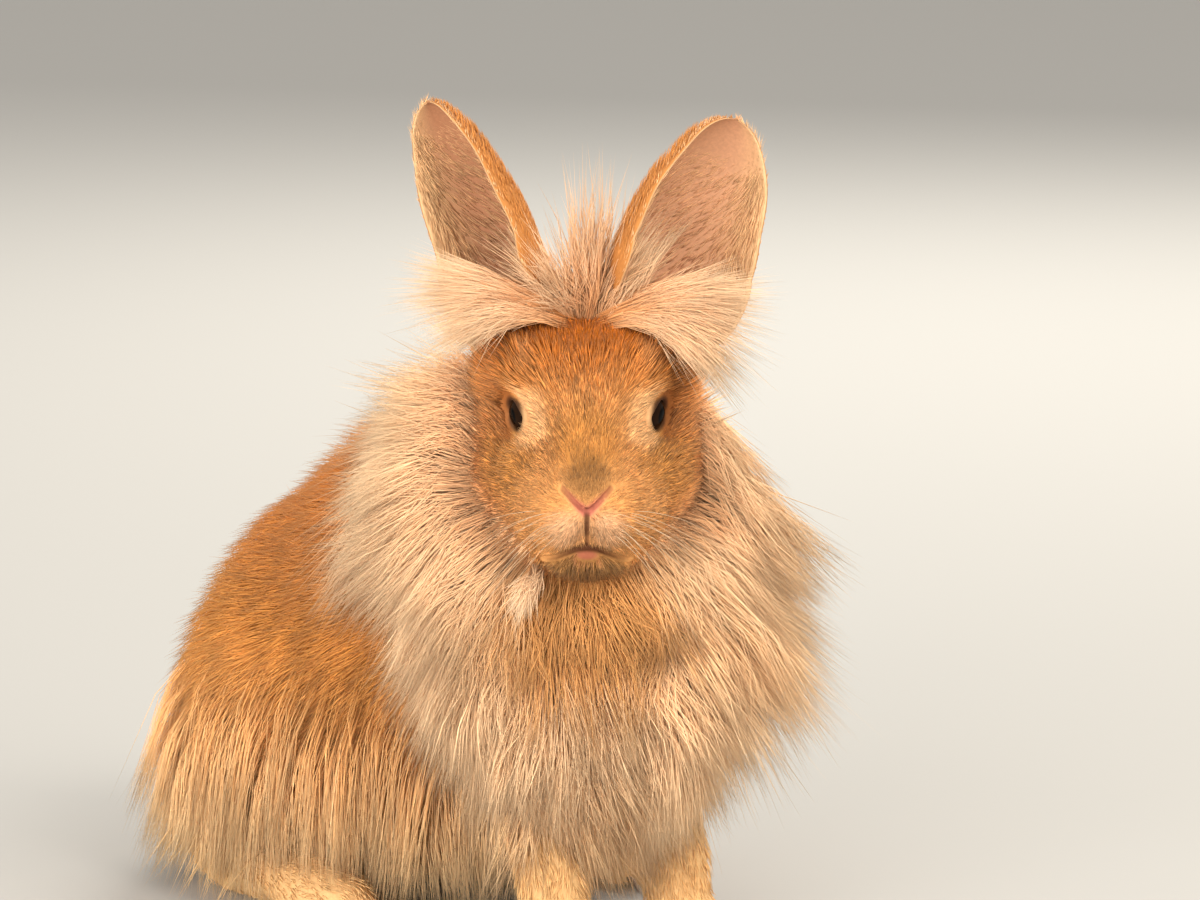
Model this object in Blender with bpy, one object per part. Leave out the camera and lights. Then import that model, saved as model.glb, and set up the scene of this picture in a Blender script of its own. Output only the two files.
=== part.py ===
"""A lionhead rabbit at life size, sitting up on straight forelegs with its head turned to its right.

The rabbit faces -Y with its left side towards +X, and it stands on the plane z = 0. All sizes are in
millimetres of the real animal, and the meshes are scaled to metres as they are made. The flesh is a
smooth union of rounded masses, meshed node by node. Thin cuts of GAP part the nodes. The mane, the
forelock and the skirts are flat tapered locks, fused to the node that they grow from.
"""

import math
import random

import bmesh
import bpy
import numpy as np
from mathutils import Matrix, Vector
from mathutils.kdtree import KDTree

METRES = 0.001
GAP = 0.3
SEED = 7

# Where the model's own axes stand, so that the origin is under the middle of its box.
SHIFT = Vector((-0.05, -67.9, 0.0))

# Head: its frame has its origin midway between the eyes, -y out of the face, +z up.
HEAD_TURN = math.radians(-36.0)
HEAD_PLACE = Vector((-22.0, -34.0, 195.0))
EYE_SIDE = 18.4
EYE_BACK = 1.5
EYE_RADIUS = 8.2
EYE_OUTWARD = math.radians(70.0)
LID_LONG = 7.0
LID_TALL = 6.2
LID_THICK = 1.5

# Grid steps of the meshes.
HEAD_STEP = 5.5
BODY_STEP = 16.6
NECK_STEP = 15.0
LEG_STEP = 8.6
TAIL_STEP = 9.0
SHORTEST_EDGE = 0.05


def unit(vector):
    return Vector(vector).normalized()


def rotation(turn):
    """The rotation of three turns in degrees, about x, then y, then z."""
    x, y, z = (math.radians(angle) for angle in turn)
    return Matrix.Rotation(z, 3, "Z") @ Matrix.Rotation(y, 3, "Y") @ Matrix.Rotation(x, 3, "X")


def head_to_body(point):
    return HEAD_PLACE + Matrix.Rotation(HEAD_TURN, 3, "Z") @ Vector(point)


def head_direction(vector):
    return Matrix.Rotation(HEAD_TURN, 3, "Z") @ Vector(vector)


# Masses of flesh: a field is below zero inside, and about the distance in millimetres outside.


def mass(centre, radii, turn=(0, 0, 0), blend=10.0):
    """An ellipsoid of flesh, and how softly it flows into what comes before it."""
    return {"centre": centre, "radii": radii, "turn": turn, "blend": blend}


def pair(centre, radii, turn=(0, 0, 0), blend=10.0):
    """The same mass on both sides."""
    x, y, z = centre
    a, b, c = turn
    return [mass((x, y, z), radii, (a, b, c), blend), mass((-x, y, z), radii, (a, -b, -c), blend)]


def ellipsoid_field(points, item):
    local = (points - np.array(item["centre"])) @ np.array(rotation(item["turn"]))
    scaled = local / np.array(item["radii"])
    length = np.linalg.norm(scaled, axis=1)
    slope = np.linalg.norm(scaled / np.array(item["radii"]), axis=1)
    return length * (length - 1.0) / np.maximum(slope, 1e-9)


def soft_union(first, second, blend):
    near = np.maximum(blend - np.abs(first - second), 0.0) / blend
    return np.minimum(first, second) - near * near * blend / 4.0


def flesh_field(masses):
    def field(points):
        value = ellipsoid_field(points, masses[0])
        for item in masses[1:]:
            value = soft_union(value, ellipsoid_field(points, item), item["blend"])
        return value

    return field


def hollowed(field, hollows):
    """The field with rounded hollows pressed into it."""

    def pressed(points):
        value = field(points)
        for item in hollows:
            value = -soft_union(-value, ellipsoid_field(points, item), item["blend"])
        return value

    return pressed


def in_head_frame(field):
    turn = np.array(Matrix.Rotation(HEAD_TURN, 3, "Z"))
    place = np.array(HEAD_PLACE)
    return lambda points: field((points - place) @ turn)


HEAD_MASSES = [
    mass((0, 21, 1), (34, 34, 32)),
    mass((0, 5, 12), (23, 22, 19), blend=8),
    *pair((16, 11, 15), (18, 22, 19), blend=10),
    mass((0, -12, -1), (14, 21, 14), (42, 0, 0), blend=10),
    mass((0, -22, -22), (16, 19.5, 16), blend=10),
    *pair((9.5, -28.5, -31), (11.5, 13.5, 12.5), blend=5),
    *pair((20, 11, -22), (16.5, 25, 20), blend=12),
    *pair((13, -11, -30), (13.5, 19, 16), blend=10),
    mass((0, -21, -43), (19, 16.5, 10.5), blend=5),
    mass((0, 0, -36), (23, 28, 16), blend=10),
    *pair((19, 0, 12), (7, 10, 5), (0, 25, 0), blend=6),
    mass((0, -37, -20.5), (7.5, 5.5, 5.5), blend=5),
]
HEAD_HOLLOWS = [*pair((33, -10, 0), (7, 12, 8), blend=8)]

NECK_MASSES = [
    mass((-6, 6, 160), (38, 36, 40)),
    mass((-6, -16, 120), (40, 30, 50), blend=20),
    mass((-2, 34, 154), (42, 42, 30), (-22, 0, 0), blend=25),
    mass(tuple(head_to_body((0, 30, -24))), (47, 17, 44), (0, 0, -36), blend=10),
    mass(tuple(head_to_body((1, 10, -74))), (42, 22, 44), (0, 0, -36), blend=20),
]
TRUNK_MASSES = [
    mass((0, 8, 110), (46, 40, 54)),
    mass((0, 34, 122), (52, 44, 52), blend=25),
    mass((0, 84, 108), (58, 62, 70), blend=30),
    mass((0, 92, 66), (62, 70, 50), blend=30),
    mass((0, 136, 84), (58, 56, 60), blend=30),
    *pair((38, 129, 55), (37, 50, 52), blend=25),
]
HAUNCH = {"centre": (62, 127, 50), "radii": (44, 56, 62)}
CHEST_BACK = 44.0

FOREPAW = (26, -33, 9)
TAIL_MASSES = [
    mass((0, 196, 62), (15, 17, 19), (-30, 0, 0)),
    mass((0, 206, 78), (13, 14, 18), (-20, 0, 0), blend=10),
]


def foreleg_masses(side):
    x, y, z = FOREPAW
    toes = [
        mass((side * (x + across), y - forward, 5.8), (4.0, 7.5, 5.8), blend=3)
        for across, forward in ((-7.5, 11), (-2.6, 15), (2.6, 15), (7.5, 11))
    ]
    return [
        mass((side * 26, -2, 74), (17, 19, 30), (-18, 0, 0)),
        mass((side * 26, -13, 46), (13.5, 14.5, 30), (-14, 0, 0), blend=12),
        mass((side * 26, -21, 22), (12, 13, 20), blend=10),
        mass((side * x, y + 4, z), (12.5, 18, 10.6), blend=8),
        *toes,
    ]


def hindfoot_masses(side):
    toes = [
        mass((side * (60 + across), 56 - forward, 6.2), (4.6, 11, 6.4), blend=3)
        for across, forward in ((-8.5, 5), (-3, 9), (3, 9), (8.5, 5))
    ]
    return [
        mass((side * 59, 100, 11), (14, 48, 13.2), blend=8),
        mass((side * 60, 72, 9.5), (14.5, 24, 11), blend=8),
        mass((side * 58, 134, 19), (15, 26, 21), blend=10),
        *toes,
    ]


head_field = in_head_frame(hollowed(flesh_field(HEAD_MASSES), HEAD_HOLLOWS))
neck_field = flesh_field(NECK_MASSES)
trunk_field = flesh_field(TRUNK_MASSES)
tail_field = flesh_field(TAIL_MASSES)
FORELEGS = [flesh_field(foreleg_masses(side)) for side in (-1, 1)]
HINDFEET = [flesh_field(hindfoot_masses(side)) for side in (-1, 1)]


# Meshing.


def net_faces(field, low, high, step):
    """One point for each grid cell that the field's surface crosses, and a quad round each crossed edge of
    the grid."""
    counts = np.ceil((high - low) / step).astype(int) + 1
    axes = [low[i] + step * np.arange(counts[i]) for i in range(3)]
    grid = np.stack(np.meshgrid(*axes, indexing="ij"), axis=-1)
    values = field(grid.reshape(-1, 3)).reshape(counts)
    inside = values < 0
    corners = np.array([(i, j, k) for i in (0, 1) for j in (0, 1) for k in (0, 1)])
    cells = counts - 1
    filled = sum(
        inside[i : cells[0] + i, j : cells[1] + j, k : cells[2] + k].astype(int) for i, j, k in corners
    )
    active = (filled > 0) & (filled < 8)
    index = np.full(cells, -1)
    index[active] = np.arange(active.sum())
    where = np.argwhere(active)
    total = np.zeros((len(where), 3))
    crossings = np.zeros(len(where))
    for start in corners:
        for axis in np.flatnonzero(start == 0):
            end = start.copy()
            end[axis] = 1
            at_start = values[tuple((where + start).T)]
            at_end = values[tuple((where + end).T)]
            crossed = (at_start < 0) != (at_end < 0)
            share = np.where(crossed, at_start / np.where(crossed, at_start - at_end, 1.0), 0.0)
            total += crossed[:, None] * (start + share[:, None] * (end - start))
            crossings += crossed
    points = low + step * (where + total / crossings[:, None])
    quads = []
    for axis in range(3):
        second, third = (axis + 1) % 3, (axis + 2) % 3
        ahead = np.roll(inside, -1, axis)
        crossed = inside != ahead
        crossed[tuple(slice(None) if i != axis else slice(-1, None) for i in range(3))] = False
        edges = np.argwhere(crossed)
        around = []
        for back_second, back_third in ((1, 1), (0, 1), (0, 0), (1, 0)):
            cell = edges.copy()
            cell[:, second] -= back_second
            cell[:, third] -= back_third
            around.append(index[tuple(cell.T)])
        ring = np.stack(around, axis=1)
        leaving = inside[tuple(edges.T)]
        ring[~leaving] = ring[~leaving][:, ::-1]
        quads.append(ring)
    return points, np.concatenate(quads)


def surface_net(field, low, high, step, grow=0.0):
    """The field's surface as triangles, moved out by a distance. The grid is shifted until every edge of
    the net has two faces."""
    low, high = np.array(low, float), np.array(high, float)
    for shift in np.arange(0.0, 1.0, 0.17):
        points, quads = net_faces(field, low - shift * step, high, step)
        points = settle(points, quads, field)
        a, b, c, d = (points[quads[:, i]] for i in range(4))
        short = np.linalg.norm(a - c, axis=1) < np.linalg.norm(b - d, axis=1)
        faces = np.where(short[:, None], quads[:, (0, 1, 2, 0, 2, 3)], quads[:, (1, 2, 3, 1, 3, 0)])
        faces = faces.reshape(-1, 3)
        ends = np.sort(np.concatenate([faces[:, :2], faces[:, 1:], faces[:, ::2]]), axis=1)
        if (np.unique(ends, axis=0, return_counts=True)[1] == 2).all():
            break
    slope = gradient(field, points)
    return points + grow * slope / np.linalg.norm(slope, axis=1)[:, None], faces


def gradient(field, points, reach=0.5):
    slopes = [
        (field(points + reach * axis) - field(points - reach * axis)) / (2 * reach) for axis in np.eye(3)
    ]
    return np.stack(slopes, axis=1)


def settle(points, quads, field, rounds=3):
    """Evens out the points of the net and draws them onto the surface."""
    for _ in range(rounds):
        total = np.zeros_like(points)
        count = np.zeros(len(points))
        for a in range(4):
            np.add.at(total, quads[:, a], points[quads[:, (a + 1) % 4]])
            np.add.at(count, quads[:, a], 1)
        points = 0.5 * points + 0.5 * total / count[:, None]
        for _ in range(2):
            slope = gradient(field, points)
            steep = np.maximum((slope**2).sum(1), 0.05)
            points = points - (field(points) / steep)[:, None] * slope
    return points


# Blender objects.


def new_object(name, points, faces):
    mesh = bpy.data.meshes.new(name)
    mesh.from_pydata([tuple((Vector(p) + SHIFT) * METRES) for p in points], [], [list(f) for f in faces])
    mesh.validate()
    built = bpy.data.objects.new(name, mesh)
    bpy.context.scene.collection.objects.link(built)
    return built


def flesh(name, field, low, high, step, grow=0.0):
    points, faces = surface_net(field, low, high, step, grow)
    return new_object(name, points.tolist(), faces.tolist())


def apply_modifiers(built):
    graph = bpy.context.evaluated_depsgraph_get()
    mesh = bpy.data.meshes.new_from_object(built.evaluated_get(graph))
    built.modifiers.clear()
    old = built.data
    built.data = mesh
    mesh.name = built.name
    bpy.data.meshes.remove(old)


def combine(built, others, operation, solver="MANIFOLD"):
    """One Boolean of a node with a collection of closed meshes, applied, and the collection removed."""
    operands = bpy.data.collections.new(built.name + "_operands")
    bpy.context.scene.collection.children.link(operands)
    for other in others:
        bpy.context.scene.collection.objects.unlink(other)
        operands.objects.link(other)
    modifier = built.modifiers.new(operation.title(), "BOOLEAN")
    modifier.operation = operation
    modifier.operand_type = "COLLECTION"
    modifier.collection = operands
    modifier.solver = solver
    bpy.context.view_layer.update()
    apply_modifiers(built)
    for other in others:
        bpy.data.objects.remove(other)
    bpy.data.collections.remove(operands)
    return built


def close_short_edges(shape):
    """Joins the ends of the tiny edges that cuts leave, wherever the surface stays closed."""
    bmesh.ops.triangulate(shape, faces=shape.faces[:])
    for _ in range(4):
        short = [edge for edge in shape.edges if edge.calc_length() < SHORTEST_EDGE * METRES]
        for edge in short:
            if not edge.is_valid:
                continue
            first, second = edge.verts
            near_first = {e.other_vert(first) for e in first.link_edges}
            near_second = {e.other_vert(second) for e in second.link_edges}
            if len(near_first & near_second) == 2:
                bmesh.ops.weld_verts(shape, targetmap={second: first})
        if not short:
            break
    shape.normal_update()
    tree = KDTree(len(shape.verts))
    for index, vertex in enumerate(shape.verts):
        tree.insert(vertex.co, index)
    tree.balance()
    shape.verts.ensure_lookup_table()
    for index, vertex in enumerate(shape.verts):
        touching = [found[1] for found in tree.find_range(vertex.co, 0.1 * SHORTEST_EDGE * METRES)]
        for other in touching:
            if other > index:
                shape.verts[other].co -= shape.verts[other].normal * SHORTEST_EDGE * METRES


def keep_largest(built):
    """Leaves the closed surface that holds the most."""
    shape = bmesh.new()
    shape.from_mesh(built.data)
    shape.verts.ensure_lookup_table()
    seen, islands = set(), []
    for start in shape.verts:
        if start.index in seen:
            continue
        island, queue = [], [start]
        seen.add(start.index)
        while queue:
            vertex = queue.pop()
            island.append(vertex)
            for edge in vertex.link_edges:
                other = edge.other_vert(vertex)
                if other.index not in seen:
                    seen.add(other.index)
                    queue.append(other)
        islands.append(island)

    def volume(island):
        faces = {face for vertex in island for face in vertex.link_faces}
        total = 0.0
        for face in faces:
            first = face.verts[0].co
            for second, third in zip(face.verts[1:], face.verts[2:]):
                total += first.dot(second.co.cross(third.co)) / 6.0
        return total

    largest = max(islands, key=volume)
    kept = set(largest)
    bmesh.ops.delete(shape, geom=[v for v in shape.verts if v not in kept], context="VERTS")
    close_short_edges(shape)
    shape.to_mesh(built.data)
    shape.free()
    return built


def grown(built, distance=GAP):
    """The mesh with each of its faces moved out by a distance."""
    shape = bmesh.new()
    shape.from_mesh(built.data)
    shape.normal_update()
    moves = [v.normal * (distance * METRES * min(v.calc_shell_factor(), 3.0)) for v in shape.verts]
    for vertex, move in zip(shape.verts, moves):
        vertex.co += move
    shape.to_mesh(built.data)
    shape.free()
    return built


def block(name, low, high):
    """A box between two corners."""
    corners = [(x, y, z) for x in (low[0], high[0]) for y in (low[1], high[1]) for z in (low[2], high[2])]
    faces = [(0, 1, 3, 2), (4, 6, 7, 5), (0, 4, 5, 1), (2, 3, 7, 6), (0, 2, 6, 4), (1, 5, 7, 3)]
    return new_object(name, corners, faces)


def ball(name, centre, radii, turn=Matrix.Identity(3), columns=20, rows=12):
    """An ellipsoid of rows and columns about its own z axis."""
    points = [centre + turn @ Vector((0, 0, -radii[2]))]
    for row in range(1, rows):
        down = math.pi * row / rows
        for column in range(columns):
            around = 2 * math.pi * column / columns
            spot = (
                radii[0] * math.sin(down) * math.cos(around),
                radii[1] * math.sin(down) * math.sin(around),
                -radii[2] * math.cos(down),
            )
            points.append(centre + turn @ Vector(spot))
    points.append(centre + turn @ Vector((0, 0, radii[2])))
    last = len(points) - 1
    faces = []
    for column in range(columns):
        right = (column + 1) % columns
        faces.append((0, 1 + right, 1 + column))
        for row in range(rows - 2):
            below, above = 1 + row * columns, 1 + (row + 1) * columns
            faces.append((below + column, below + right, above + right, above + column))
        top = 1 + (rows - 2) * columns
        faces.append((top + column, top + right, last))
    return new_object(name, points, faces)


def tube(name, route, radius, sides=6, ends=0.35, closed=False):
    """A round tube through the points of a route, a little thinner at its ends."""
    count = len(route)
    points, faces = [], []
    side = None
    for i, place in enumerate(route):
        if closed:
            along = (route[(i + 1) % count] - route[i - 1]).normalized()
        else:
            along = (route[min(i + 1, count - 1)] - route[max(i - 1, 0)]).normalized()
        if side is None:
            side = along.orthogonal().normalized()
        side = (side - along * side.dot(along)).normalized()
        up = along.cross(side)
        share = 1.0 if closed else ends + (1 - ends) * math.sin(math.pi * (i + 0.5) / count)
        for j in range(sides):
            angle = 2 * math.pi * j / sides
            points.append(place + radius * share * (side * math.cos(angle) + up * math.sin(angle)))
    for i in range(count if closed else count - 1):
        here, there = i * sides, ((i + 1) % count) * sides
        for j in range(sides):
            following = (j + 1) % sides
            faces.append((here + j, here + following, there + following, there + j))
    if not closed:
        faces.append(tuple(range(sides - 1, -1, -1)))
        faces.append(tuple(range((count - 1) * sides, count * sides)))
    return new_object(name, points, faces)


# Locks of hair.

LOCK_STATIONS = (0.0, 0.4, 0.76)
LOCK_WIDTHS = (0.85, 1.0, 0.66)
LOCK_SINK = 6.0


def lock_spec(root, deep, out, aim, lie, bend, length, width, thick, curl=0.0):
    """A lock, sunk into the flesh along deep: it leaves its root along aim and bends towards lie. Its flat
    side faces out."""
    return {
        "root": Vector(root),
        "deep": unit(deep),
        "out": unit(out),
        "aim": unit(aim),
        "lie": unit(lie),
        "bend": bend,
        "length": length,
        "width": width,
        "thick": thick,
        "curl": curl,
    }


def lock_centre(spec, t):
    turned = 0.5 * spec["bend"] * t * t
    run = spec["aim"] * (t - turned) + spec["lie"] * turned
    across = spec["aim"].cross(spec["out"])
    return spec["root"] + spec["length"] * (run + across * spec["curl"] * math.sin(2.2 * t))


def pushed_clear(point, field, room):
    """The point, moved out of a field until it has that room."""
    spot = np.array([tuple(point)])
    for _ in range(4):
        short = room - field(spot)[0]
        if short <= 0:
            break
        slope = gradient(field, spot)[0]
        spot = spot + short * slope / max(np.linalg.norm(slope), 0.2)
    return Vector(spot[0])


def lock_object(name, spec, avoid=None):
    """The lock as a closed mesh of four-sided rings and a tip, bent clear of the avoided field."""
    centres = [lock_centre(spec, t) for t in LOCK_STATIONS] + [lock_centre(spec, 1.0)]
    if avoid is not None:
        for i, share in enumerate((*LOCK_WIDTHS[1:], 0.0), start=1):
            room = GAP + 0.8 + spec["thick"] * (0.25 + 0.4 * share)
            centres[i] = pushed_clear(centres[i], avoid, room)
    centres[0] = spec["root"] + spec["deep"] * LOCK_SINK - spec["aim"] * 0.3 * LOCK_SINK
    points, faces = [], []
    for i, share in enumerate(LOCK_WIDTHS):
        along = (centres[i + 1] - centres[i - 1 if i else 0]).normalized()
        across = along.cross(spec["out"])
        if across.length < 0.15:
            across = along.cross(spec["lie"])
        across.normalize()
        up = across.cross(along).normalized()
        half = 0.5 * spec["width"] * share
        lift = spec["thick"] * (0.35 + 0.65 * share)
        points += [
            centres[i] - across * half,
            centres[i] + up * 0.6 * lift,
            centres[i] + across * half,
            centres[i] - up * 0.4 * lift,
        ]
    points.append(centres[-1])
    rings = len(LOCK_STATIONS)
    for i in range(rings - 1):
        for j in range(4):
            following = (j + 1) % 4
            low, low_next = 4 * i + j, 4 * i + following
            high, high_next = low + 4, low_next + 4
            faces += [(low, low_next, high_next), (low, high_next, high)]
    last = 4 * (rings - 1)
    for j in range(4):
        faces.append((last + j, last + (j + 1) % 4, 4 * rings))
    faces += [(3, 2, 1), (3, 1, 0)]
    return new_object(name, points, faces)


def one_of(pieces):
    """The pieces as one mesh."""
    return combine(pieces[0], pieces[1:], "UNION")


def locks_from(specs, avoid):
    return [lock_object(f"lock_{i}", spec, avoid) for i, spec in enumerate(specs)]


def on_surface(field, start, towards, reach=120.0):
    """Where a ray from inside leaves the field."""
    steps = np.linspace(0.0, reach, 121)
    line = np.array(start) + steps[:, None] * np.array(towards)
    values = field(line)
    outside = np.flatnonzero(values > 0)
    return Vector(line[outside[0]]) if len(outside) else Vector(line[-1])


def surface_out(field, point):
    return Vector(gradient(field, np.array([tuple(point)]))[0]).normalized()


# Ears: a curled sheet about a bent spine, its hollow facing forwards and outwards.

EAR_ROOT = (15.5, 15.0, 9.0)
EAR_ROWS = 10
EAR_COLUMNS = 7
EAR_THICK = 3.0
RIGHT_EAR = {"tip": (-54.0, 24.0, 103.0), "opens": math.radians(-46.0), "wide": 20.5}
LEFT_EAR = {"tip": (50.5, 24.0, 97.0), "opens": math.radians(34.0), "wide": 26.0}


def ear_shape(ear, t):
    """The middle of the ear's curl at a share of its length, with the curl's radius and its half angle."""
    side = 1 if ear["tip"][0] > 0 else -1
    root = Vector((side * EAR_ROOT[0], EAR_ROOT[1], EAR_ROOT[2]))
    tip = Vector(ear["tip"])
    bow = Vector((side * -5.0, 5.0, 0.0)) * math.sin(math.pi * t)
    spine = root.lerp(tip, t) + bow
    width = 9.0 + (ear["wide"] - 9.0) * math.sin(0.5 * math.pi * min(1.0, max(0.0, t - 0.08) / 0.4)) ** 0.9
    if t > 0.45:
        width = min(width, ear["wide"] * max(0.0, 1.0 - ((t - 0.45) / 0.55) ** 2) ** 0.58)
    half_angle = math.radians(150.0 - 55.0 * min(1.0, max(0.0, t - 0.1) / 0.4) ** 0.8 - 18.0 * t**3)
    return spine, max(width, 1.2), half_angle


def ear_axes(ear):
    side = 1 if ear["tip"][0] > 0 else -1
    along = (Vector(ear["tip"]) - Vector((side * EAR_ROOT[0], EAR_ROOT[1], EAR_ROOT[2]))).normalized()
    opens = Vector((math.sin(ear["opens"]), -math.cos(ear["opens"]), 0.0))
    opens = (opens - along * opens.dot(along)).normalized()
    return along, opens, along.cross(opens)


def ear_object(name, ear):
    """The ear in the head's frame, as a closed sheet that is thinnest at its rim."""
    _, opens, across = ear_axes(ear)
    outer, inner = [], []
    for row in range(EAR_ROWS + 1):
        t = 1.0 - (1.0 - row / EAR_ROWS) ** 1.6
        spine, radius, half_angle = ear_shape(ear, t)
        middle = spine + opens * radius * 0.55
        for column in range(EAR_COLUMNS + 1):
            share = 2.0 * column / EAR_COLUMNS - 1.0
            angle = half_angle * share
            way = across * math.sin(angle) - opens * math.cos(angle)
            half = 0.5 * EAR_THICK * (1.0 - 0.35 * abs(share) ** 3) * (1.0 - 0.3 * t)
            outer.append(head_to_body(middle + way * (radius + half)))
            inner.append(head_to_body(middle + way * max(radius - half, 0.3)))
    points = outer + inner
    wide, behind = EAR_COLUMNS + 1, len(outer)
    faces = []
    for row in range(EAR_ROWS):
        for column in range(EAR_COLUMNS):
            a = row * wide + column
            faces.append((a, a + 1, a + wide + 1, a + wide))
            faces.append((behind + a, behind + a + wide, behind + a + wide + 1, behind + a + 1))
        left, right = row * wide, row * wide + EAR_COLUMNS
        faces.append((left, left + wide, behind + left + wide, behind + left))
        faces.append((right + wide, right, behind + right, behind + right + wide))
    for column in range(EAR_COLUMNS):
        low, high = column, EAR_ROWS * wide + column
        faces.append((low + 1, low, behind + low, behind + low + 1))
        faces.append((high, high + 1, behind + high + 1, behind + high))
    built = new_object(name, points, faces)
    shape = bmesh.new()
    shape.from_mesh(built.data)
    bmesh.ops.triangulate(shape, faces=shape.faces[:])
    bmesh.ops.recalc_face_normals(shape, faces=shape.faces[:])
    shape.to_mesh(built.data)
    shape.free()
    return built


def ears_field(points):
    """About the distance to either ear, taken as balls along its middle."""
    return np.min([np.linalg.norm(points - c, axis=1) - r for c, r in EAR_BALLS], axis=0)


def grown_ears():
    return [grown(ear_object(f"grown_{i}", ear)) for i, ear in enumerate((RIGHT_EAR, LEFT_EAR))]


def ear_balls(ear):
    balls = []
    for t in np.linspace(0.1, 1.0, 9):
        spine, radius, _ = ear_shape(ear, t)
        _, opens, _ = ear_axes(ear)
        balls.append((np.array(tuple(head_to_body(spine + opens * radius * 0.4))), radius + 1.0))
    return balls


EAR_BALLS = ear_balls(RIGHT_EAR) + ear_balls(LEFT_EAR)


# The head's own forms.


def eye_centre(side):
    return Vector((side * EYE_SIDE, EYE_BACK, 0.0))


def eye_axes(side):
    """Across the eye, along its lids, and out of the eye, in the head's frame."""
    out = Vector((side * math.sin(EYE_OUTWARD), -math.cos(EYE_OUTWARD), 0.10)).normalized()
    along = Vector((-side * out.y * side, out.x, 0.0))
    along = (along - out * along.dot(out)).normalized()
    return along, out.cross(along).normalized(), out


def lid_route(side, over):
    """The almond that the lids' edges follow, on a ball just over the eye."""
    along, up, out = eye_axes(side)
    route = []
    for step in range(16):
        angle = 2 * math.pi * step / 16
        x, y = LID_LONG * math.cos(angle), LID_TALL * math.sin(angle)
        y *= 1.0 - 0.25 * abs(math.cos(angle)) ** 3
        out_by = math.sqrt(max(over * over - x * x - y * y, 1.0))
        route.append(head_to_body(eye_centre(side) + along * x + up * y + out * out_by))
    return route


def eye_object(name, side, radius):
    turn = Matrix.Rotation(HEAD_TURN, 3, "Z") @ Matrix.Rotation(math.radians(90), 3, "Y")
    return ball(name, head_to_body(eye_centre(side)), (radius,) * 3, turn, columns=14, rows=7)


def eye_opening(name, side):
    """What is cleared of flesh between the lids."""
    along, up, out = (head_direction(axis) for axis in eye_axes(side))
    turn = Matrix((along, up, out)).transposed()
    middle = head_to_body(eye_centre(side)) + out * EYE_RADIUS
    return ball(name, middle, (LID_LONG, LID_TALL, 6.0), turn, columns=12, rows=6)


def head_box(low, high):
    """The corners of a box round part of the head's own frame, in the body's."""
    sides = [(low[i], high[i]) for i in range(3)]
    corners = [head_to_body((x, y, z)) for x in sides[0] for y in sides[1] for z in sides[2]]
    lows = [min(c[i] for c in corners) for i in range(3)]
    highs = [max(c[i] for c in corners) for i in range(3)]
    return lows, highs


HEAD_LOW, HEAD_HIGH = head_box((-44, -50, -60), (44, 56, 42))


def face_point(x, z, sink=0.0):
    """The point of the face straight ahead of a place in its middle plane, sunk by some depth."""
    start = head_to_body((x, 0, z))
    front = on_surface(head_field, start, head_direction((0, -1, 0)))
    return front + head_direction((0, 1, 0)) * sink


NOSTRIL = [(1.2, -26.4), (3.6, -23.8), (6.0, -21.2), (7.8, -19.4)]
MOUTH = [(0, -39.8), (3.5, -40.3), (7.5, -42.0), (11.5, -44.0), (15.0, -45.0)]
LOWER_LIP = [(-8, -45.2), (-4, -43.4), (0, -42.8), (4, -43.4), (8, -45.2)]
PHILTRUM = [(0, -25.8), (0, -30.0), (0, -35.0), (0, -39.6)]


def face_cuts():
    """The slits of the nose, the split of the upper lip and the line of the mouth."""
    whole_mouth = [(-x, z) for x, z in reversed(MOUTH[1:])] + MOUTH
    lines = [(PHILTRUM, 0.75), (whole_mouth, 0.95)]
    for side in (-1, 1):
        lines.append(([(side * x, z) for x, z in NOSTRIL], 1.15))
    return [
        tube(f"slit_{i}", [face_point(x, z, 0.2) for x, z in line], radius, sides=5)
        for i, (line, radius) in enumerate(lines)
    ]


def lips():
    """The soft edge of the lower lip."""
    route = [face_point(x, z, 0.9) for x, z in LOWER_LIP]
    return [tube("lower_lip", route, 1.7, sides=6, ends=0.5)]


def head_core(name, grow=0.0):
    return flesh(name, head_field, HEAD_LOW, HEAD_HIGH, HEAD_STEP, grow)


def build_head(forelock):
    head = head_core("head")
    lid_routes = [lid_route(side, EYE_RADIUS + 0.9) for side in (-1, 1)]
    lids = [tube(f"lids_{i}", route, LID_THICK, closed=True) for i, route in enumerate(lid_routes)]
    combine(head, [eye_opening(f"opening_{side}", side) for side in (-1, 1)], "DIFFERENCE")
    hair = one_of(locks_from(forelock, ears_field))
    combine(hair, grown_ears(), "DIFFERENCE")
    combine(head, lids + lips() + [hair], "UNION")
    sockets = [eye_object(f"socket_{side}", side, EYE_RADIUS + GAP) for side in (-1, 1)]
    combine(head, sockets + face_cuts(), "DIFFERENCE")
    return keep_largest(head)


def build_eyes():
    for name, side in (("eye_right", -1), ("eye_left", 1)):
        eye_object(name, side, EYE_RADIUS)


def build_ears():
    for name, ear in (("ear_right", RIGHT_EAR), ("ear_left", LEFT_EAR)):
        built = ear_object(name, ear)
        combine(built, [head_core("head_grown", GAP)], "DIFFERENCE")
        keep_largest(built)


# Neck, trunk, legs and tail.

TRUNK_LOW, TRUNK_HIGH = (-100, -60, -6), (100, 212, 200)


def haunch_ball(name, side, grow=0.0):
    x, y, z = HAUNCH["centre"]
    radii = [radius + grow for radius in HAUNCH["radii"]]
    return ball(name, Vector((side * x, y, z)), radii, columns=20, rows=12)


def trunk(name, grow=0.0):
    return flesh(name, trunk_field, TRUNK_LOW, TRUNK_HIGH, BODY_STEP, grow)


def floor_block():
    return block("under_floor", (-300, -300, -90), (300, 400, 0))


def foreleg_mesh(name, side, grow=0.0):
    field = flesh_field(foreleg_masses(side))
    return flesh(name, field, (side * 26 - 24, -70, -9), (side * 26 + 24, 30, 112), LEG_STEP, grow)


def hindfoot_mesh(name, side, grow=0.0):
    field = flesh_field(hindfoot_masses(side))
    return flesh(name, field, (side * 59 - 24, 18, -9), (side * 59 + 24, 168, 52), LEG_STEP, grow)


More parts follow.
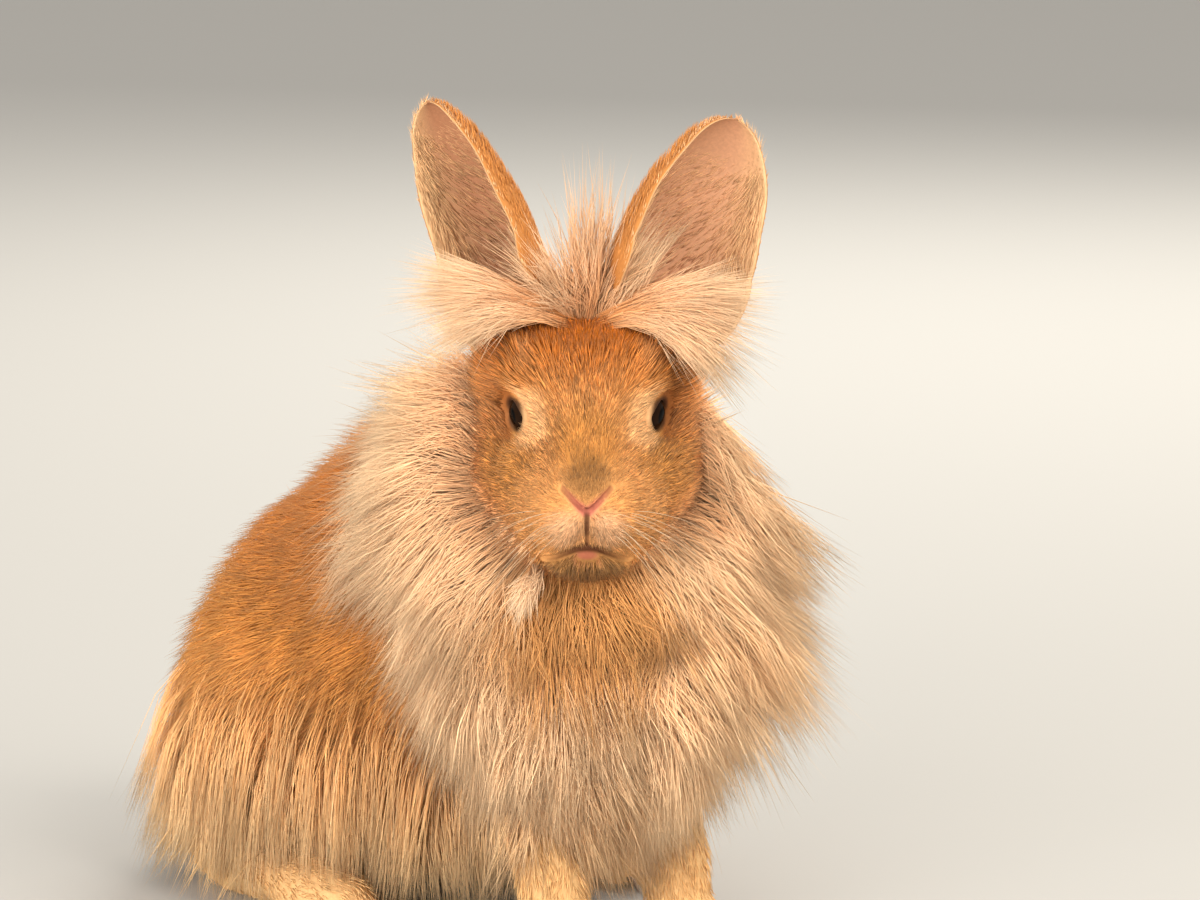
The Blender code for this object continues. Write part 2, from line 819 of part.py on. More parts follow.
def build_body(flanks, skirts):
    """The trunk is one whole, parted by thin cuts into chest, torso and haunches."""
    chest = trunk("chest")
    combine(chest, [block("chest_region", (-200, -200, -50), (200, CHEST_BACK - GAP, 300))], "INTERSECT")
    combine(chest, [neck_core("neck_grown", GAP), floor_block()], "DIFFERENCE")
    keep_largest(chest)
    torso = trunk("torso")
    combine(torso, [block("torso_region", (-200, CHEST_BACK, -50), (200, 400, 300))], "INTERSECT")
    hair = one_of(locks_from(flanks, feet_field))
    combine(hair, [block("chest_side", (-200, -200, -50), (200, CHEST_BACK, 300))], "DIFFERENCE")
    combine(torso, [hair], "UNION")
    haunches = [haunch_ball(f"haunch_{side}", side, GAP) for side in (-1, 1)]
    feet = [hindfoot_mesh(f"foot_{side}", side, GAP) for side in (-1, 1)]
    combine(torso, [*haunches, *feet, neck_core("neck_grown", GAP), floor_block()], "DIFFERENCE")
    keep_largest(torso)
    for name, side in (("thigh_right", -1), ("thigh_left", 1)):
        thigh = trunk(name)
        combine(thigh, [haunch_ball("haunch", side)], "INTERSECT")
        hair = one_of(locks_from(skirts[side], feet_field))
        rest = trunk("rest", GAP)
        combine(rest, [haunch_ball("haunch", side)], "DIFFERENCE")
        flank_locks = [grown(lock) for lock in locks_from(flanks, feet_field)]
        combine(hair, [rest, *flank_locks, tail_mesh("tail_grown", GAP)], "DIFFERENCE")
        combine(thigh, [hair], "UNION")
        combine(thigh, [hindfoot_mesh("foot_grown", side, GAP), floor_block()], "DIFFERENCE")
        keep_largest(thigh)


def neck_core(name, grow=0.0):
    return flesh(name, neck_field, (-110, -110, 40), (90, 100, 250), NECK_STEP, grow)


def build_neck(mane, forelock):
    neck = neck_core("neck")
    hair = one_of(locks_from(mane, clear_of_mane))
    legs = [foreleg_mesh(f"leg_{side}", side, GAP) for side in (-1, 1)]
    combine(hair, [trunk("trunk_grown", GAP), *legs], "DIFFERENCE")
    combine(neck, [hair], "UNION")
    wings = [grown(lock) for lock in locks_from(forelock, ears_field)]
    combine(neck, [head_core("head_grown", GAP), *wings, *grown_ears()], "DIFFERENCE")
    return keep_largest(neck)


def feet_field(points):
    return np.minimum(HINDFEET[0](points), HINDFEET[1](points))


def clear_of_mane(points):
    """What the mane keeps clear of: head, ears, trunk and forelegs."""
    parts = [head_field, ears_field, trunk_field, *FORELEGS]
    return np.min([field(points) for field in parts], axis=0)


def build_legs():
    for name, side in (("foreleg_right", -1), ("foreleg_left", 1)):
        leg = foreleg_mesh(name, side)
        combine(leg, [trunk("trunk_grown", GAP), neck_core("neck_grown", GAP), floor_block()], "DIFFERENCE")
        keep_largest(leg)
    for name, side in (("hindfoot_right", -1), ("hindfoot_left", 1)):
        foot = hindfoot_mesh(name, side)
        combine(foot, [floor_block()], "DIFFERENCE")
        keep_largest(foot)


def tail_mesh(name, grow=0.0):
    return flesh(name, tail_field, (-24, 170, 36), (24, 232, 108), TAIL_STEP, grow)


def build_tail(specs):
    tail = tail_mesh("tail")
    combine(tail, locks_from(specs, trunk_field), "UNION")
    combine(tail, [trunk("trunk_grown", GAP)], "DIFFERENCE")
    return keep_largest(tail)


# The coat's locks. Their draws are seeded, so they fall the same way each time.

RUFF_MIDDLE = -24.0
RUFF_COUNT = 11
RUFF_ROWS = [(22.0, -0.1, 52.0), (37.0, 0.35, 52.0)]
BIB_ROWS = [
    (-52.0, 70.0, 4, 44.0),
    (-69.0, 95.0, 5, 52.0),
    (-87.0, 95.0, 6, 52.0),
    (-104.0, 75.0, 4, 50.0),
]
CAPE_ROWS = [(30.0, 186.0, 3, 44.0), (54.0, 175.0, 4, 46.0)]


def sway(amount):
    return random.uniform(-amount, amount)


def ruff_specs():
    """Locks that stand out all round the face like a collar, and hang more the lower they grow. On the left
    the upper ones are short and lie down, and the low ones are longer."""
    specs = []
    for row, (back, flare, length) in enumerate(RUFF_ROWS):
        for i in range(RUFF_COUNT):
            around = 2 * math.pi * (i + 0.33 * row) / RUFF_COUNT + sway(0.06)
            x, z = math.sin(around), -math.cos(around)
            up = max(0.0, z)
            left = max(0.0, x) * (1.0 - max(0.0, -z))
            low_left = max(0.0, x) * max(0.0, -z)
            out = head_direction((x, 0, z))
            root = on_surface(neck_field, head_to_body((0, back, RUFF_MIDDLE)), out)
            aim = out + head_direction((0, flare + 0.9 * up, 0)) + Vector((0, 0, 0.1 * abs(x)))
            aim += Vector((0, 0, -0.9 * left))
            lie = head_direction((0.6 * x, 0.1 + up, -1.2 - 0.3 * up))
            reach = length * (1.0 - 0.36 * up) * (1.0 - 0.3 * left + 0.3 * low_left) * (1.0 + sway(0.1))
            face = head_direction((0, -1, 0)) + out * 0.3
            deep = -surface_out(neck_field, root)
            specs.append(lock_spec(root, deep, face, aim, lie, 0.8, reach, 28.0, 4.6, sway(0.06)))
    return specs


def bib_specs():
    """Locks that hang down the throat and the chest, and spread to the sides of the forelegs, more so on
    the left."""
    specs = []
    for row, (height, spread, count, length) in enumerate(BIB_ROWS):
        for i in range(count):
            share = 2.0 * (i + 0.5 * (row % 2)) / (count - 0.5) - 1.0
            angle = math.radians(spread * share)
            out = head_direction((math.sin(angle), -math.cos(angle), 0))
            root = on_surface(neck_field, head_to_body((1, 10, height)), out)
            left = max(0.0, share)
            aim = out * (0.45 + 0.75 * abs(share) + 0.3 * left) + Vector((0, 0, -0.8))
            lie = Vector((0, 0, -1)) + out * (0.35 * abs(share) + 0.2 * left)
            reach = length * (1.0 + 0.12 * abs(share) + 0.12 * left) * (1.0 + sway(0.1))
            deep = -surface_out(neck_field, root)
            specs.append(lock_spec(root, deep, out, aim, lie, 0.8, reach, 27.0, 4.6, sway(0.06)))
    return specs


def cape_specs():
    """Locks that fall from the nape over the shoulders."""
    specs = []
    for row, (back, height, count, length) in enumerate(CAPE_ROWS):
        for i in range(count):
            angle = math.radians(80.0 * (2.0 * (i + 0.5) / count - 1.0))
            out = Vector((math.sin(angle), 0.25, math.cos(angle))).normalized()
            root = on_surface(neck_field, (-2, back, height - 30), out)
            aim = out * 0.5 + Vector((0.3 * math.sin(angle), 0.9, -0.2))
            lie = Vector((0.4 * math.sin(angle), 0.8, -0.8))
            deep = -surface_out(neck_field, root)
            reach = length * (1.0 + sway(0.1))
            specs.append(lock_spec(root, deep, out, aim, lie, 0.8, reach, 24.0, 4.6, sway(0.06)))
    return specs


def forelock_specs():
    """A wing of hair to each side of the parting, arched over the brow and before the ear, and a tuft that
    stands between them."""
    specs = []
    for side, tips in ((-1, RIGHT_WING), (1, LEFT_WING)):
        for i, (reach_out, height) in enumerate(tips):
            share = i / (len(tips) - 1)
            start = head_to_body((side * (3 + 9 * share), 9 - 17 * share, 10))
            root = on_surface(head_field, start, Vector((0, 0, 1)))
            tip = head_to_body((side * reach_out, -3 - 6 * share, height))
            run = tip - root
            aim = run.normalized() + Vector((0, 0, 0.8)) + head_direction((0, -0.2, 0))
            lie = run.normalized() + Vector((0, 0, -1.3))
            face = head_direction((side * 0.15, -0.8, 0.7 - 0.3 * share))
            specs.append(
                lock_spec(root, (0, 0, -1), face, aim, lie, 0.75, run.length * 1.28, 15.0, 3.8, sway(0.04))
            )
    for i in range(TUFT_COUNT):
        share = 2.0 * i / (TUFT_COUNT - 1) - 1.0
        start = head_to_body((9 * share, 6 + 5 * (i % 2), 10))
        root = on_surface(head_field, start, Vector((0, 0, 1)))
        aim = head_direction((0.32 * share, 0.1 - 0.2 * (i % 2), 1.0))
        lie = head_direction((0.55 * share, -0.05, 1.0))
        reach = (56.0 - 14.0 * abs(share)) * (1.0 + sway(0.08))
        face = head_direction((0, -1, 0))
        specs.append(lock_spec(root, (0, 0, -1), face, aim, lie, 0.6, reach, 11.0, 3.6, sway(0.05)))
    return specs


RIGHT_WING = [(58, 57), (66, 49), (67, 39), (62, 28), (54, 17), (45, 22)]
LEFT_WING = [(52, 50), (62, 38), (64, 24), (60, 6), (52, 4), (44, 16)]
TUFT_COUNT = 6
SKIRT_ROWS = [(46.0, 5, 42.0, 0.0), (28.0, 3, 28.0, 0.5)]
TAIL_ROWS = [(0.05, 4, 24.0), (0.55, 3, 22.0)]


def skirt_specs(side):
    """Locks that hang from the haunch over the hind foot and round the rump."""
    specs = []
    for height, count, length, offset in SKIRT_ROWS:
        for i in range(count):
            angle = math.radians(-40.0 + 105.0 * (i + offset) / count)
            out = Vector((side * math.cos(angle), math.sin(angle), 0))
            root = on_surface(trunk_field, (side * 40, 132, height), out)
            aim = out * 0.45 + Vector((0, 0, -0.8))
            lie = Vector((0, 0, -1)) + out * 0.12
            deep = -surface_out(trunk_field, root)
            reach = length * (1.0 + sway(0.08))
            specs.append(lock_spec(root, deep, out, aim, lie, 0.8, reach, 26.0, 4.2, sway(0.06)))
    return specs


def flank_specs():
    """Locks along the belly's edge, between the foreleg and the haunch."""
    specs = []
    for side in (-1, 1):
        for back in (54.0, 67.0, 80.0):
            out = Vector((side, 0, -0.1)).normalized()
            root = on_surface(trunk_field, (side * 10, back, 46), out)
            aim = out * 0.35 + Vector((0, 0.2, -0.9))
            lie = Vector((0, 0.15, -1)) + out * 0.1
            deep = -surface_out(trunk_field, root)
            reach = 32.0 * (1.0 + sway(0.1))
            specs.append(lock_spec(root, deep, out, aim, lie, 0.8, reach, 22.0, 4.2, sway(0.06)))
    return specs


def tail_specs():
    """Locks that clothe the tail and turn up at its tip."""
    specs = []
    for share, count, length in TAIL_ROWS:
        for i in range(count):
            angle = 2 * math.pi * (i + share) / count
            middle = Vector((0, 198, 60)).lerp(Vector((0, 206, 78)), share)
            out = Vector((math.sin(angle), -0.3 * math.cos(angle) + 0.35, 0.2)).normalized()
            root = on_surface(tail_field, middle, out)
            aim = out * 0.45 + Vector((0, 0.1, 0.8))
            lie = Vector((0, 0.1, 1.0)) - out * 0.3
            deep = -surface_out(tail_field, root)
            specs.append(lock_spec(root, deep, out, aim, lie, 0.9, length, 15.0, 4.2, sway(0.08)))
    return specs


COLOURS = {
    "head": (0.55, 0.27, 0.10),
    "ear": (0.58, 0.33, 0.16),
    "eye": (0.02, 0.012, 0.01),
    "neck": (0.72, 0.49, 0.30),
    "chest": (0.60, 0.33, 0.13),
    "torso": (0.60, 0.33, 0.13),
    "thigh": (0.62, 0.36, 0.15),
    "foreleg": (0.50, 0.29, 0.12),
    "hindfoot": (0.50, 0.29, 0.12),
    "tail": (0.68, 0.45, 0.26),
}


def paint():
    """Gives each node its own matt material, and the eyes a wet gloss."""
    for built in bpy.context.scene.objects:
        kind = built.name.split("_")[0]
        material = bpy.data.materials.new(built.name)
        material.use_nodes = True
        shader = material.node_tree.nodes["Principled BSDF"]
        shader.inputs["Base Color"].default_value = (*COLOURS[kind], 1.0)
        shader.inputs["Roughness"].default_value = 0.08 if kind == "eye" else 0.85
        shader.inputs["Metallic"].default_value = 0.0
        built.data.materials.clear()
        built.data.materials.append(material)


def main():
    for built in list(bpy.data.objects):
        bpy.data.objects.remove(built)
    random.seed(SEED)
    forelock = forelock_specs()
    mane = ruff_specs() + bib_specs() + cape_specs()
    skirts = {side: skirt_specs(side) for side in (-1, 1)}
    build_head(forelock)
    build_eyes()
    build_ears()
    build_neck(mane, forelock)
    build_body(flank_specs(), skirts)
    build_legs()
    build_tail(tail_specs())
    paint()


main()
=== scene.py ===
"""The looks of the lionhead rabbit: one skin with its coat of tufts and long hair, eyes, claws and whiskers.

Sizes are in millimetres of the real animal, in the model's own axes before SHIFT, as its solids are, and
the meshes are scaled to metres as they are made. HEAD points are in the head's frame: its origin is midway
between the eyes, -y out of the face and +z up.
"""

import math

import bpy
import numpy as np
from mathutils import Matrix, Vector
from mathutils.kdtree import KDTree


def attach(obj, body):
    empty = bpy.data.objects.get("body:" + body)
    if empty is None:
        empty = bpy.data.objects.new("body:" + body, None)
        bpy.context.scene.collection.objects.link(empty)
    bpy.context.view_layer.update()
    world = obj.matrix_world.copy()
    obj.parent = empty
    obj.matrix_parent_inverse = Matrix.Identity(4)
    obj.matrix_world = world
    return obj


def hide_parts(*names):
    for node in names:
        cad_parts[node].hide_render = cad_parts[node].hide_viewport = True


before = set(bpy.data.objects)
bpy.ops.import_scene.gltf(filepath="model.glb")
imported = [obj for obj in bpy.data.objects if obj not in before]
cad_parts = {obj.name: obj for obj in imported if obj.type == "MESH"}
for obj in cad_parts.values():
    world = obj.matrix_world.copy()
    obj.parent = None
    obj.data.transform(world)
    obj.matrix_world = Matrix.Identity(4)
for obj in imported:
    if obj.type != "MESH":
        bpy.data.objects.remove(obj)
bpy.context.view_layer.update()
rng = np.random.default_rng(11)

METRES = 0.001
SHIFT = np.array([-0.05, -67.9, 0.0])

HEAD_TURN = math.radians(-36.0)
HEAD_PLACE = np.array([-22.0, -34.0, 195.0])
HEAD_AXES = np.array(
    [
        [math.cos(HEAD_TURN), -math.sin(HEAD_TURN), 0.0],
        [math.sin(HEAD_TURN), math.cos(HEAD_TURN), 0.0],
        [0.0, 0.0, 1.0],
    ]
)
EYE_SIDE = 18.4
EYE_BACK = 1.5
EYE_RADIUS = 8.2
EYE_OUTWARD = math.radians(70.0)
EYE_UPWARD = -0.14
LID_LONG = 7.0
LID_TALL = 6.2
LID_DEEP = 6.0
LID_EDGE = EYE_RADIUS + 0.5
LID_THICK = 1.05
NOSE_TIP = np.array([0.0, -42.0, -22.0])
MIRROR = np.array([-1.0, 1.0, 1.0])
DOWN = np.array([0.0, 0.0, -1.0])
LEVEL = np.array([1.0, 1.0, 0.0])
TO_LEFT = HEAD_AXES[:, 0]

# How far the skin lies under the coat's surface.
HEAD_DEPTH = 1.7
BARE_DEPTH = 0.3
NECK_DEPTH = 1.0
BODY_DEPTH = 6.0
LEG_DEPTH = 2.0
TAIL_DEPTH = 3.0
SOLE = 0.6


def to_head(points):
    return (points - HEAD_PLACE) @ HEAD_AXES


def from_head(points):
    return points @ HEAD_AXES.T + HEAD_PLACE


def turn_from_head(vectors):
    return vectors @ HEAD_AXES.T


def unit(vectors):
    return vectors / np.maximum(np.linalg.norm(vectors, axis=-1, keepdims=True), 1e-9)


def smooth(value, low, high):
    """A soft step from 0 at low to 1 at high."""
    share = np.clip((value - low) / (high - low), 0.0, 1.0)
    return share * share * (3.0 - 2.0 * share)


def mix(first, second, share):
    share = np.asarray(share)
    if share.ndim == 1:
        share = share[:, None]
    return first + (second - first) * share


def times(vectors, amounts):
    """Vectors, each times its own amount."""
    return vectors * amounts[:, None]


# Masses of flesh, as in the solids: a field is below zero inside.


def rotation(turn):
    x, y, z = (math.radians(angle) for angle in turn)
    about_x = np.array([[1, 0, 0], [0, math.cos(x), -math.sin(x)], [0, math.sin(x), math.cos(x)]])
    about_y = np.array([[math.cos(y), 0, math.sin(y)], [0, 1, 0], [-math.sin(y), 0, math.cos(y)]])
    about_z = np.array([[math.cos(z), -math.sin(z), 0], [math.sin(z), math.cos(z), 0], [0, 0, 1]])
    return about_z @ about_y @ about_x


def mass(centre, radii, turn=(0, 0, 0), blend=10.0):
    """An ellipsoid, turned by degrees, and the width over which it blends into the rest."""
    centre, radii = np.array(centre, float), np.array(radii, float)
    return {"centre": centre, "radii": radii, "turn": rotation(turn), "blend": blend}


def pair(centre, radii, turn=(0, 0, 0), blend=10.0):
    """An ellipsoid and its mirror image."""
    x, y, z = centre
    a, b, c = turn
    return [mass((x, y, z), radii, (a, b, c), blend), mass((-x, y, z), radii, (a, -b, -c), blend)]


def ellipsoid_field(points, item):
    scaled = ((points - item["centre"]) @ item["turn"]) / item["radii"]
    length = np.linalg.norm(scaled, axis=1)
    slope = np.linalg.norm(scaled / item["radii"], axis=1)
    return length * (length - 1.0) / np.maximum(slope, 1e-9)


def soft_union(first, second, blend):
    near = np.maximum(blend - np.abs(first - second), 0.0) / blend
    return np.minimum(first, second) - near * near * blend / 4.0


def soft_cut(value, cutter, blend):
    return -soft_union(-value, cutter, blend)


def flesh(points, masses):
    value = ellipsoid_field(points, masses[0])
    for item in masses[1:]:
        value = soft_union(value, ellipsoid_field(points, item), item["blend"])
    return value


HEAD_MASSES = [
    mass((0, 21, 1), (34, 34, 32)),
    mass((0, 5, 12), (23, 22, 19), blend=8),
    *pair((16, 11, 15), (18, 22, 19), blend=10),
    mass((0, -12, -1), (14, 21, 14), (42, 0, 0), blend=10),
    mass((0, -22, -22), (16, 19.5, 16), blend=10),
    *pair((9.5, -28.5, -31), (11.5, 13.5, 12.5), blend=5),
    *pair((20, 11, -22), (16.5, 25, 20), blend=12),
    *pair((13, -11, -30), (13.5, 19, 16), blend=10),
    mass((0, -21, -43), (19, 16.5, 10.5), blend=5),
    mass((0, 0, -36), (23, 28, 16), blend=10),
    *pair((19, 0, 12), (7, 10, 5), (0, 25, 0), blend=6),
    mass((0, -37, -20.5), (7.5, 5.5, 5.5), blend=5),
]
HEAD_HOLLOWS = pair((33, -10, 0), (7, 12, 8), blend=8)
NECK_MASSES = [
    mass((-6, 6, 160), (38, 36, 40)),
    mass((-6, -16, 120), (40, 30, 50), blend=20),
    mass((-2, 34, 154), (42, 42, 30), (-22, 0, 0), blend=25),
    mass(from_head(np.array([0, 30, -24.0])), (47, 17, 44), (0, 0, -36), blend=10),
    mass(from_head(np.array([1, 10, -74.0])), (42, 22, 44), (0, 0, -36), blend=20),
]
TRUNK_MASSES = [
    mass((0, 8, 110), (46, 40, 54)),
    mass((0, 34, 122), (52, 44, 52), blend=25),
    mass((0, 84, 108), (58, 62, 70), blend=30),
    mass((0, 92, 66), (62, 70, 50), blend=30),
    mass((0, 136, 84), (58, 56, 60), blend=30),
    *pair((38, 129, 55), (37, 50, 52), blend=25),
]
TAIL_MASSES = [
    mass((0, 196, 62), (15, 17, 19), (-30, 0, 0)),
    mass((0, 206, 78), (13, 14, 18), (-20, 0, 0), blend=10),
]
FOREPAW = (26, -33, 9)
HINDPAW = (60, 56, 6.2)
FORE_TOES = [(-7.5, 11), (-2.6, 15), (2.6, 15), (7.5, 11)]
HIND_TOES = [(-8.5, 5), (-3, 9), (3, 9), (8.5, 5)]


def toe_masses(side, paw, height, radii, toes):
    return [mass((side * (paw[0] + x), paw[1] - ahead, height), radii, blend=3) for x, ahead in toes]


def foreleg_masses(side):
    x, y, z = FOREPAW
    return [
        mass((side * 26, -2, 74), (17, 19, 30), (-18, 0, 0)),
        mass((side * 26, -13, 46), (13.5, 14.5, 30), (-14, 0, 0), blend=12),
        mass((side * 26, -21, 22), (12, 13, 20), blend=10),
        mass((side * x, y + 4, z), (12.5, 18, 10.6), blend=8),
        *toe_masses(side, FOREPAW, 5.8, (4.0, 7.5, 5.8), FORE_TOES),
    ]


def hindfoot_masses(side):
    return [
        mass((side * 59, 100, 11), (14, 48, 13.2), blend=8),
        mass((side * 60, 72, 9.5), (14.5, 24, 11), blend=8),
        mass((side * 58, 134, 19), (15, 26, 21), blend=10),
        *toe_masses(side, HINDPAW, HINDPAW[2], (4.6, 11, 6.4), HIND_TOES),
    ]


def line_distance(points, route):
    """The distance to a line through a few points."""
    best = np.full(len(points), 1e9)
    for start, end in zip(route[:-1], route[1:]):
        run = end - start
        share = np.clip(((points - start) @ run) / (run @ run), 0.0, 1.0)
        best = np.minimum(best, np.linalg.norm(points - start - share[:, None] * run, axis=1))
    return best


def gradient(field, points, reach=0.4):
    steps = reach * np.eye(3)
    return np.stack([(field(points + step) - field(points - step)) / (2 * reach) for step in steps], axis=1)


# The head's skin.


def head_mass(points):
    value = flesh(points, HEAD_MASSES)
    for item in HEAD_HOLLOWS:
        value = soft_cut(value, ellipsoid_field(points, item), item["blend"])
    return value


def head_depth(points):
    bare = smooth(np.linalg.norm(points - NOSE_TIP, axis=1), 6.0, 26.0)
    return BARE_DEPTH + (HEAD_DEPTH - BARE_DEPTH) * bare


def plain_head(points):
    return head_mass(points) + head_depth(points)


def face_point(x, z, sink=0.0):
    """The point of the face straight ahead of a place in its middle plane, sunk by some depth."""
    ahead = np.arange(0.0, 60.0, 0.1)
    line = np.stack([np.full_like(ahead, x), -ahead, np.full_like(ahead, z)], axis=1)
    first = np.flatnonzero(plain_head(line) > 0)[0]
    return line[first] + np.array([0.0, sink, 0.0])


def eye_centre(side):
    return np.array([side * EYE_SIDE, EYE_BACK, 0.0])


def eye_axes(side):
    """Along the eye's lids, up across them, and out of the eye, as the columns of a matrix."""
    out = unit(np.array([side * math.sin(EYE_OUTWARD), -math.cos(EYE_OUTWARD), EYE_UPWARD]))
    along = np.array([-out[1], out[0], 0.0])
    along = unit(along - out * (along @ out))
    return np.stack([along, unit(np.cross(out, along)), out], axis=1)


def lid_route(side, over):
    """The almond of the lids' edges, on a ball just over the eye."""
    axes = eye_axes(side)
    angle = np.linspace(0.0, 2 * math.pi, 25)
    x, y = LID_LONG * np.cos(angle), LID_TALL * np.sin(angle)
    y = y * (1.0 - 0.25 * np.abs(np.cos(angle)) ** 3)
    out = np.sqrt(np.maximum(over * over - x * x - y * y, 1.0))
    return eye_centre(side) + np.stack([x, y, out], axis=1) @ axes.T


def opening_field(points, side):
    """The gap between the lids."""
    axes = eye_axes(side)
    centre = eye_centre(side) + axes[:, 2] * EYE_RADIUS
    radii = np.array([LID_LONG, LID_TALL, LID_DEEP])
    return ellipsoid_field(points, {"centre": centre, "radii": radii, "turn": axes})


def face_line(sink, *places):
    return [face_point(x, z, sink) for x, z in places]


NOSTRIL = face_line(0.3, (0.6, -26.8), (3.4, -24.2), (6.0, -21.4), (8.2, -19.2))
PHILTRUM = face_line(0.1, (0, -26.0), (0, -30.0), (0, -35.0), (0, -39.6))
MOUTH = face_line(0.3, (0, -39.8), (3.5, -40.3), (7.5, -42.0), (11.5, -44.0), (15.0, -45.0))
LOWER_LIP = face_line(0.9, (-8, -45.2), (-4, -43.4), (0, -42.8), (4, -43.4), (8, -45.2))
LOWER_LIP_RADIUS = 0.9
# Creases of the face, each with its radius.
CREASES = [(NOSTRIL, 0.9), ([p * MIRROR for p in NOSTRIL], 0.9), (PHILTRUM, 0.5), (MOUTH, 0.85)]
CREASES.append(([p * MIRROR for p in MOUTH], 0.85))


def head_skin(points):
    """The head's skin with its lids, lips and creases."""
    value = plain_head(points)
    face = points[:, 1] < 12.0
    spots = points[face]
    front = value[face]
    for side in (-1, 1):
        front = soft_cut(front, opening_field(spots, side), 1.5)
        lids = line_distance(spots, lid_route(side, LID_EDGE)) - LID_THICK
        front = soft_union(front, lids, 1.6)
        socket = np.linalg.norm(spots - eye_centre(side), axis=1) - EYE_RADIUS + 0.25
        front = soft_cut(front, socket, 0.3)
    front = soft_union(front, line_distance(spots, LOWER_LIP) - LOWER_LIP_RADIUS, 2.5)
    for route, radius in CREASES:
        front = soft_cut(front, line_distance(spots, route) - radius, 0.6)
    value[face] = front
    return value


# The parts of the body, each with its own depth of coat.

PARTS = {
    "head": (lambda p: head_skin(to_head(p)), (-74, -94, 132), (34, 40, 240), 0.0),
    "neck": (lambda p: flesh(p, NECK_MASSES) + NECK_DEPTH, (-100, -100, 50), (80, 100, 230), 6.0),
    "trunk": (lambda p: flesh(p, TRUNK_MASSES) + BODY_DEPTH, (-100, -50, -10), (100, 208, 190), 10.0),
    "tail": (lambda p: flesh(p, TAIL_MASSES) + TAIL_DEPTH, (-24, 170, 30), (24, 230, 106), 5.0),
}
for limb_side, word in ((-1, "right"), (1, "left")):
    PARTS["foreleg_" + word] = (
        lambda p, masses=foreleg_masses(limb_side): flesh(p, masses) + LEG_DEPTH,
        (limb_side * 26 - 26, -64, -8),
        (limb_side * 26 + 26, 28, 112),
        8.0,
    )
    PARTS["hindfoot_" + word] = (
        lambda p, masses=hindfoot_masses(limb_side): flesh(p, masses) + LEG_DEPTH,
        (limb_side * 59 - 26, 26, -8),
        (limb_side * 59 + 26, 168, 48),
        8.0,
    )
PART_NAMES = list(PARTS)
FAR = 40.0


def part_values(points):
    """Each part's field at the points, and FAR for points well away from it."""
    values = []
    for field, low, high, _ in PARTS.values():
        near = ((points > np.array(low) - 4.0) & (points < np.array(high) + 4.0)).all(axis=1)
        value = np.full(len(points), FAR)
        value[near] = field(points[near])
        values.append(value)
    return np.stack(values, axis=1)


def skin_field(points):
    values = part_values(points)
    whole = values[:, 0]
    for column, (_, _, _, blend) in enumerate(PARTS.values()):
        if column:
            whole = soft_union(whole, values[:, column], blend)
    return np.maximum(whole, SOLE - points[:, 2])


# Meshing the skin, on a grid that is finest at the face.

FINE_STEP = 0.8
COARSE_STEP = 3.2
FACE_LOW = np.array([-31.0, -46.0, -52.0])
FACE_HIGH = np.array([31.0, 12.0, 14.0])
GRID_LOW = np.array([-205.0, -130.0, -197.0])
GRID_HIGH = np.array([130.0, 262.0, 44.0])
BLOCK = 8


def grid_axis(low, fine_low, fine_high, high):
    before = np.arange(fine_low, low, -COARSE_STEP)[:0:-1]
    inside = np.arange(fine_low, fine_high, FINE_STEP)
    after = np.arange(inside[-1] + COARSE_STEP, high, COARSE_STEP)
    return np.concatenate([before, inside, after])


def grid_values(axes):
    """The skin's field on the grid, worked out only in the blocks that its surface comes near."""
    shape = [len(axis) for axis in axes]
    values = np.ones(shape)
    starts = [range(0, count, BLOCK) for count in shape]
    corners = np.array(np.meshgrid(*starts)).reshape(3, -1).T
    blocks = [tuple(slice(i, i + BLOCK) for i in corner) for corner in corners]
    middles, sizes = [], []
    for block in blocks:
        lows = np.array([axis[part][0] for axis, part in zip(axes, block)])
        highs = np.array([axis[part][-1] for axis, part in zip(axes, block)])
        middles.append((lows + highs) / 2)
        sizes.append(np.linalg.norm(highs - lows) / 2)
    centres = skin_field(from_head(np.array(middles)))
    for block, centre, size in zip(blocks, centres, sizes):
        if abs(centre) > 1.6 * size + 6.0:
            values[block] = centre
            continue
        lines = [axis[part] for axis, part in zip(axes, block)]
        spots = np.stack(np.meshgrid(*lines, indexing="ij"), axis=-1)
        values[block] = skin_field(from_head(spots.reshape(-1, 3))).reshape(spots.shape[:3])
    return values


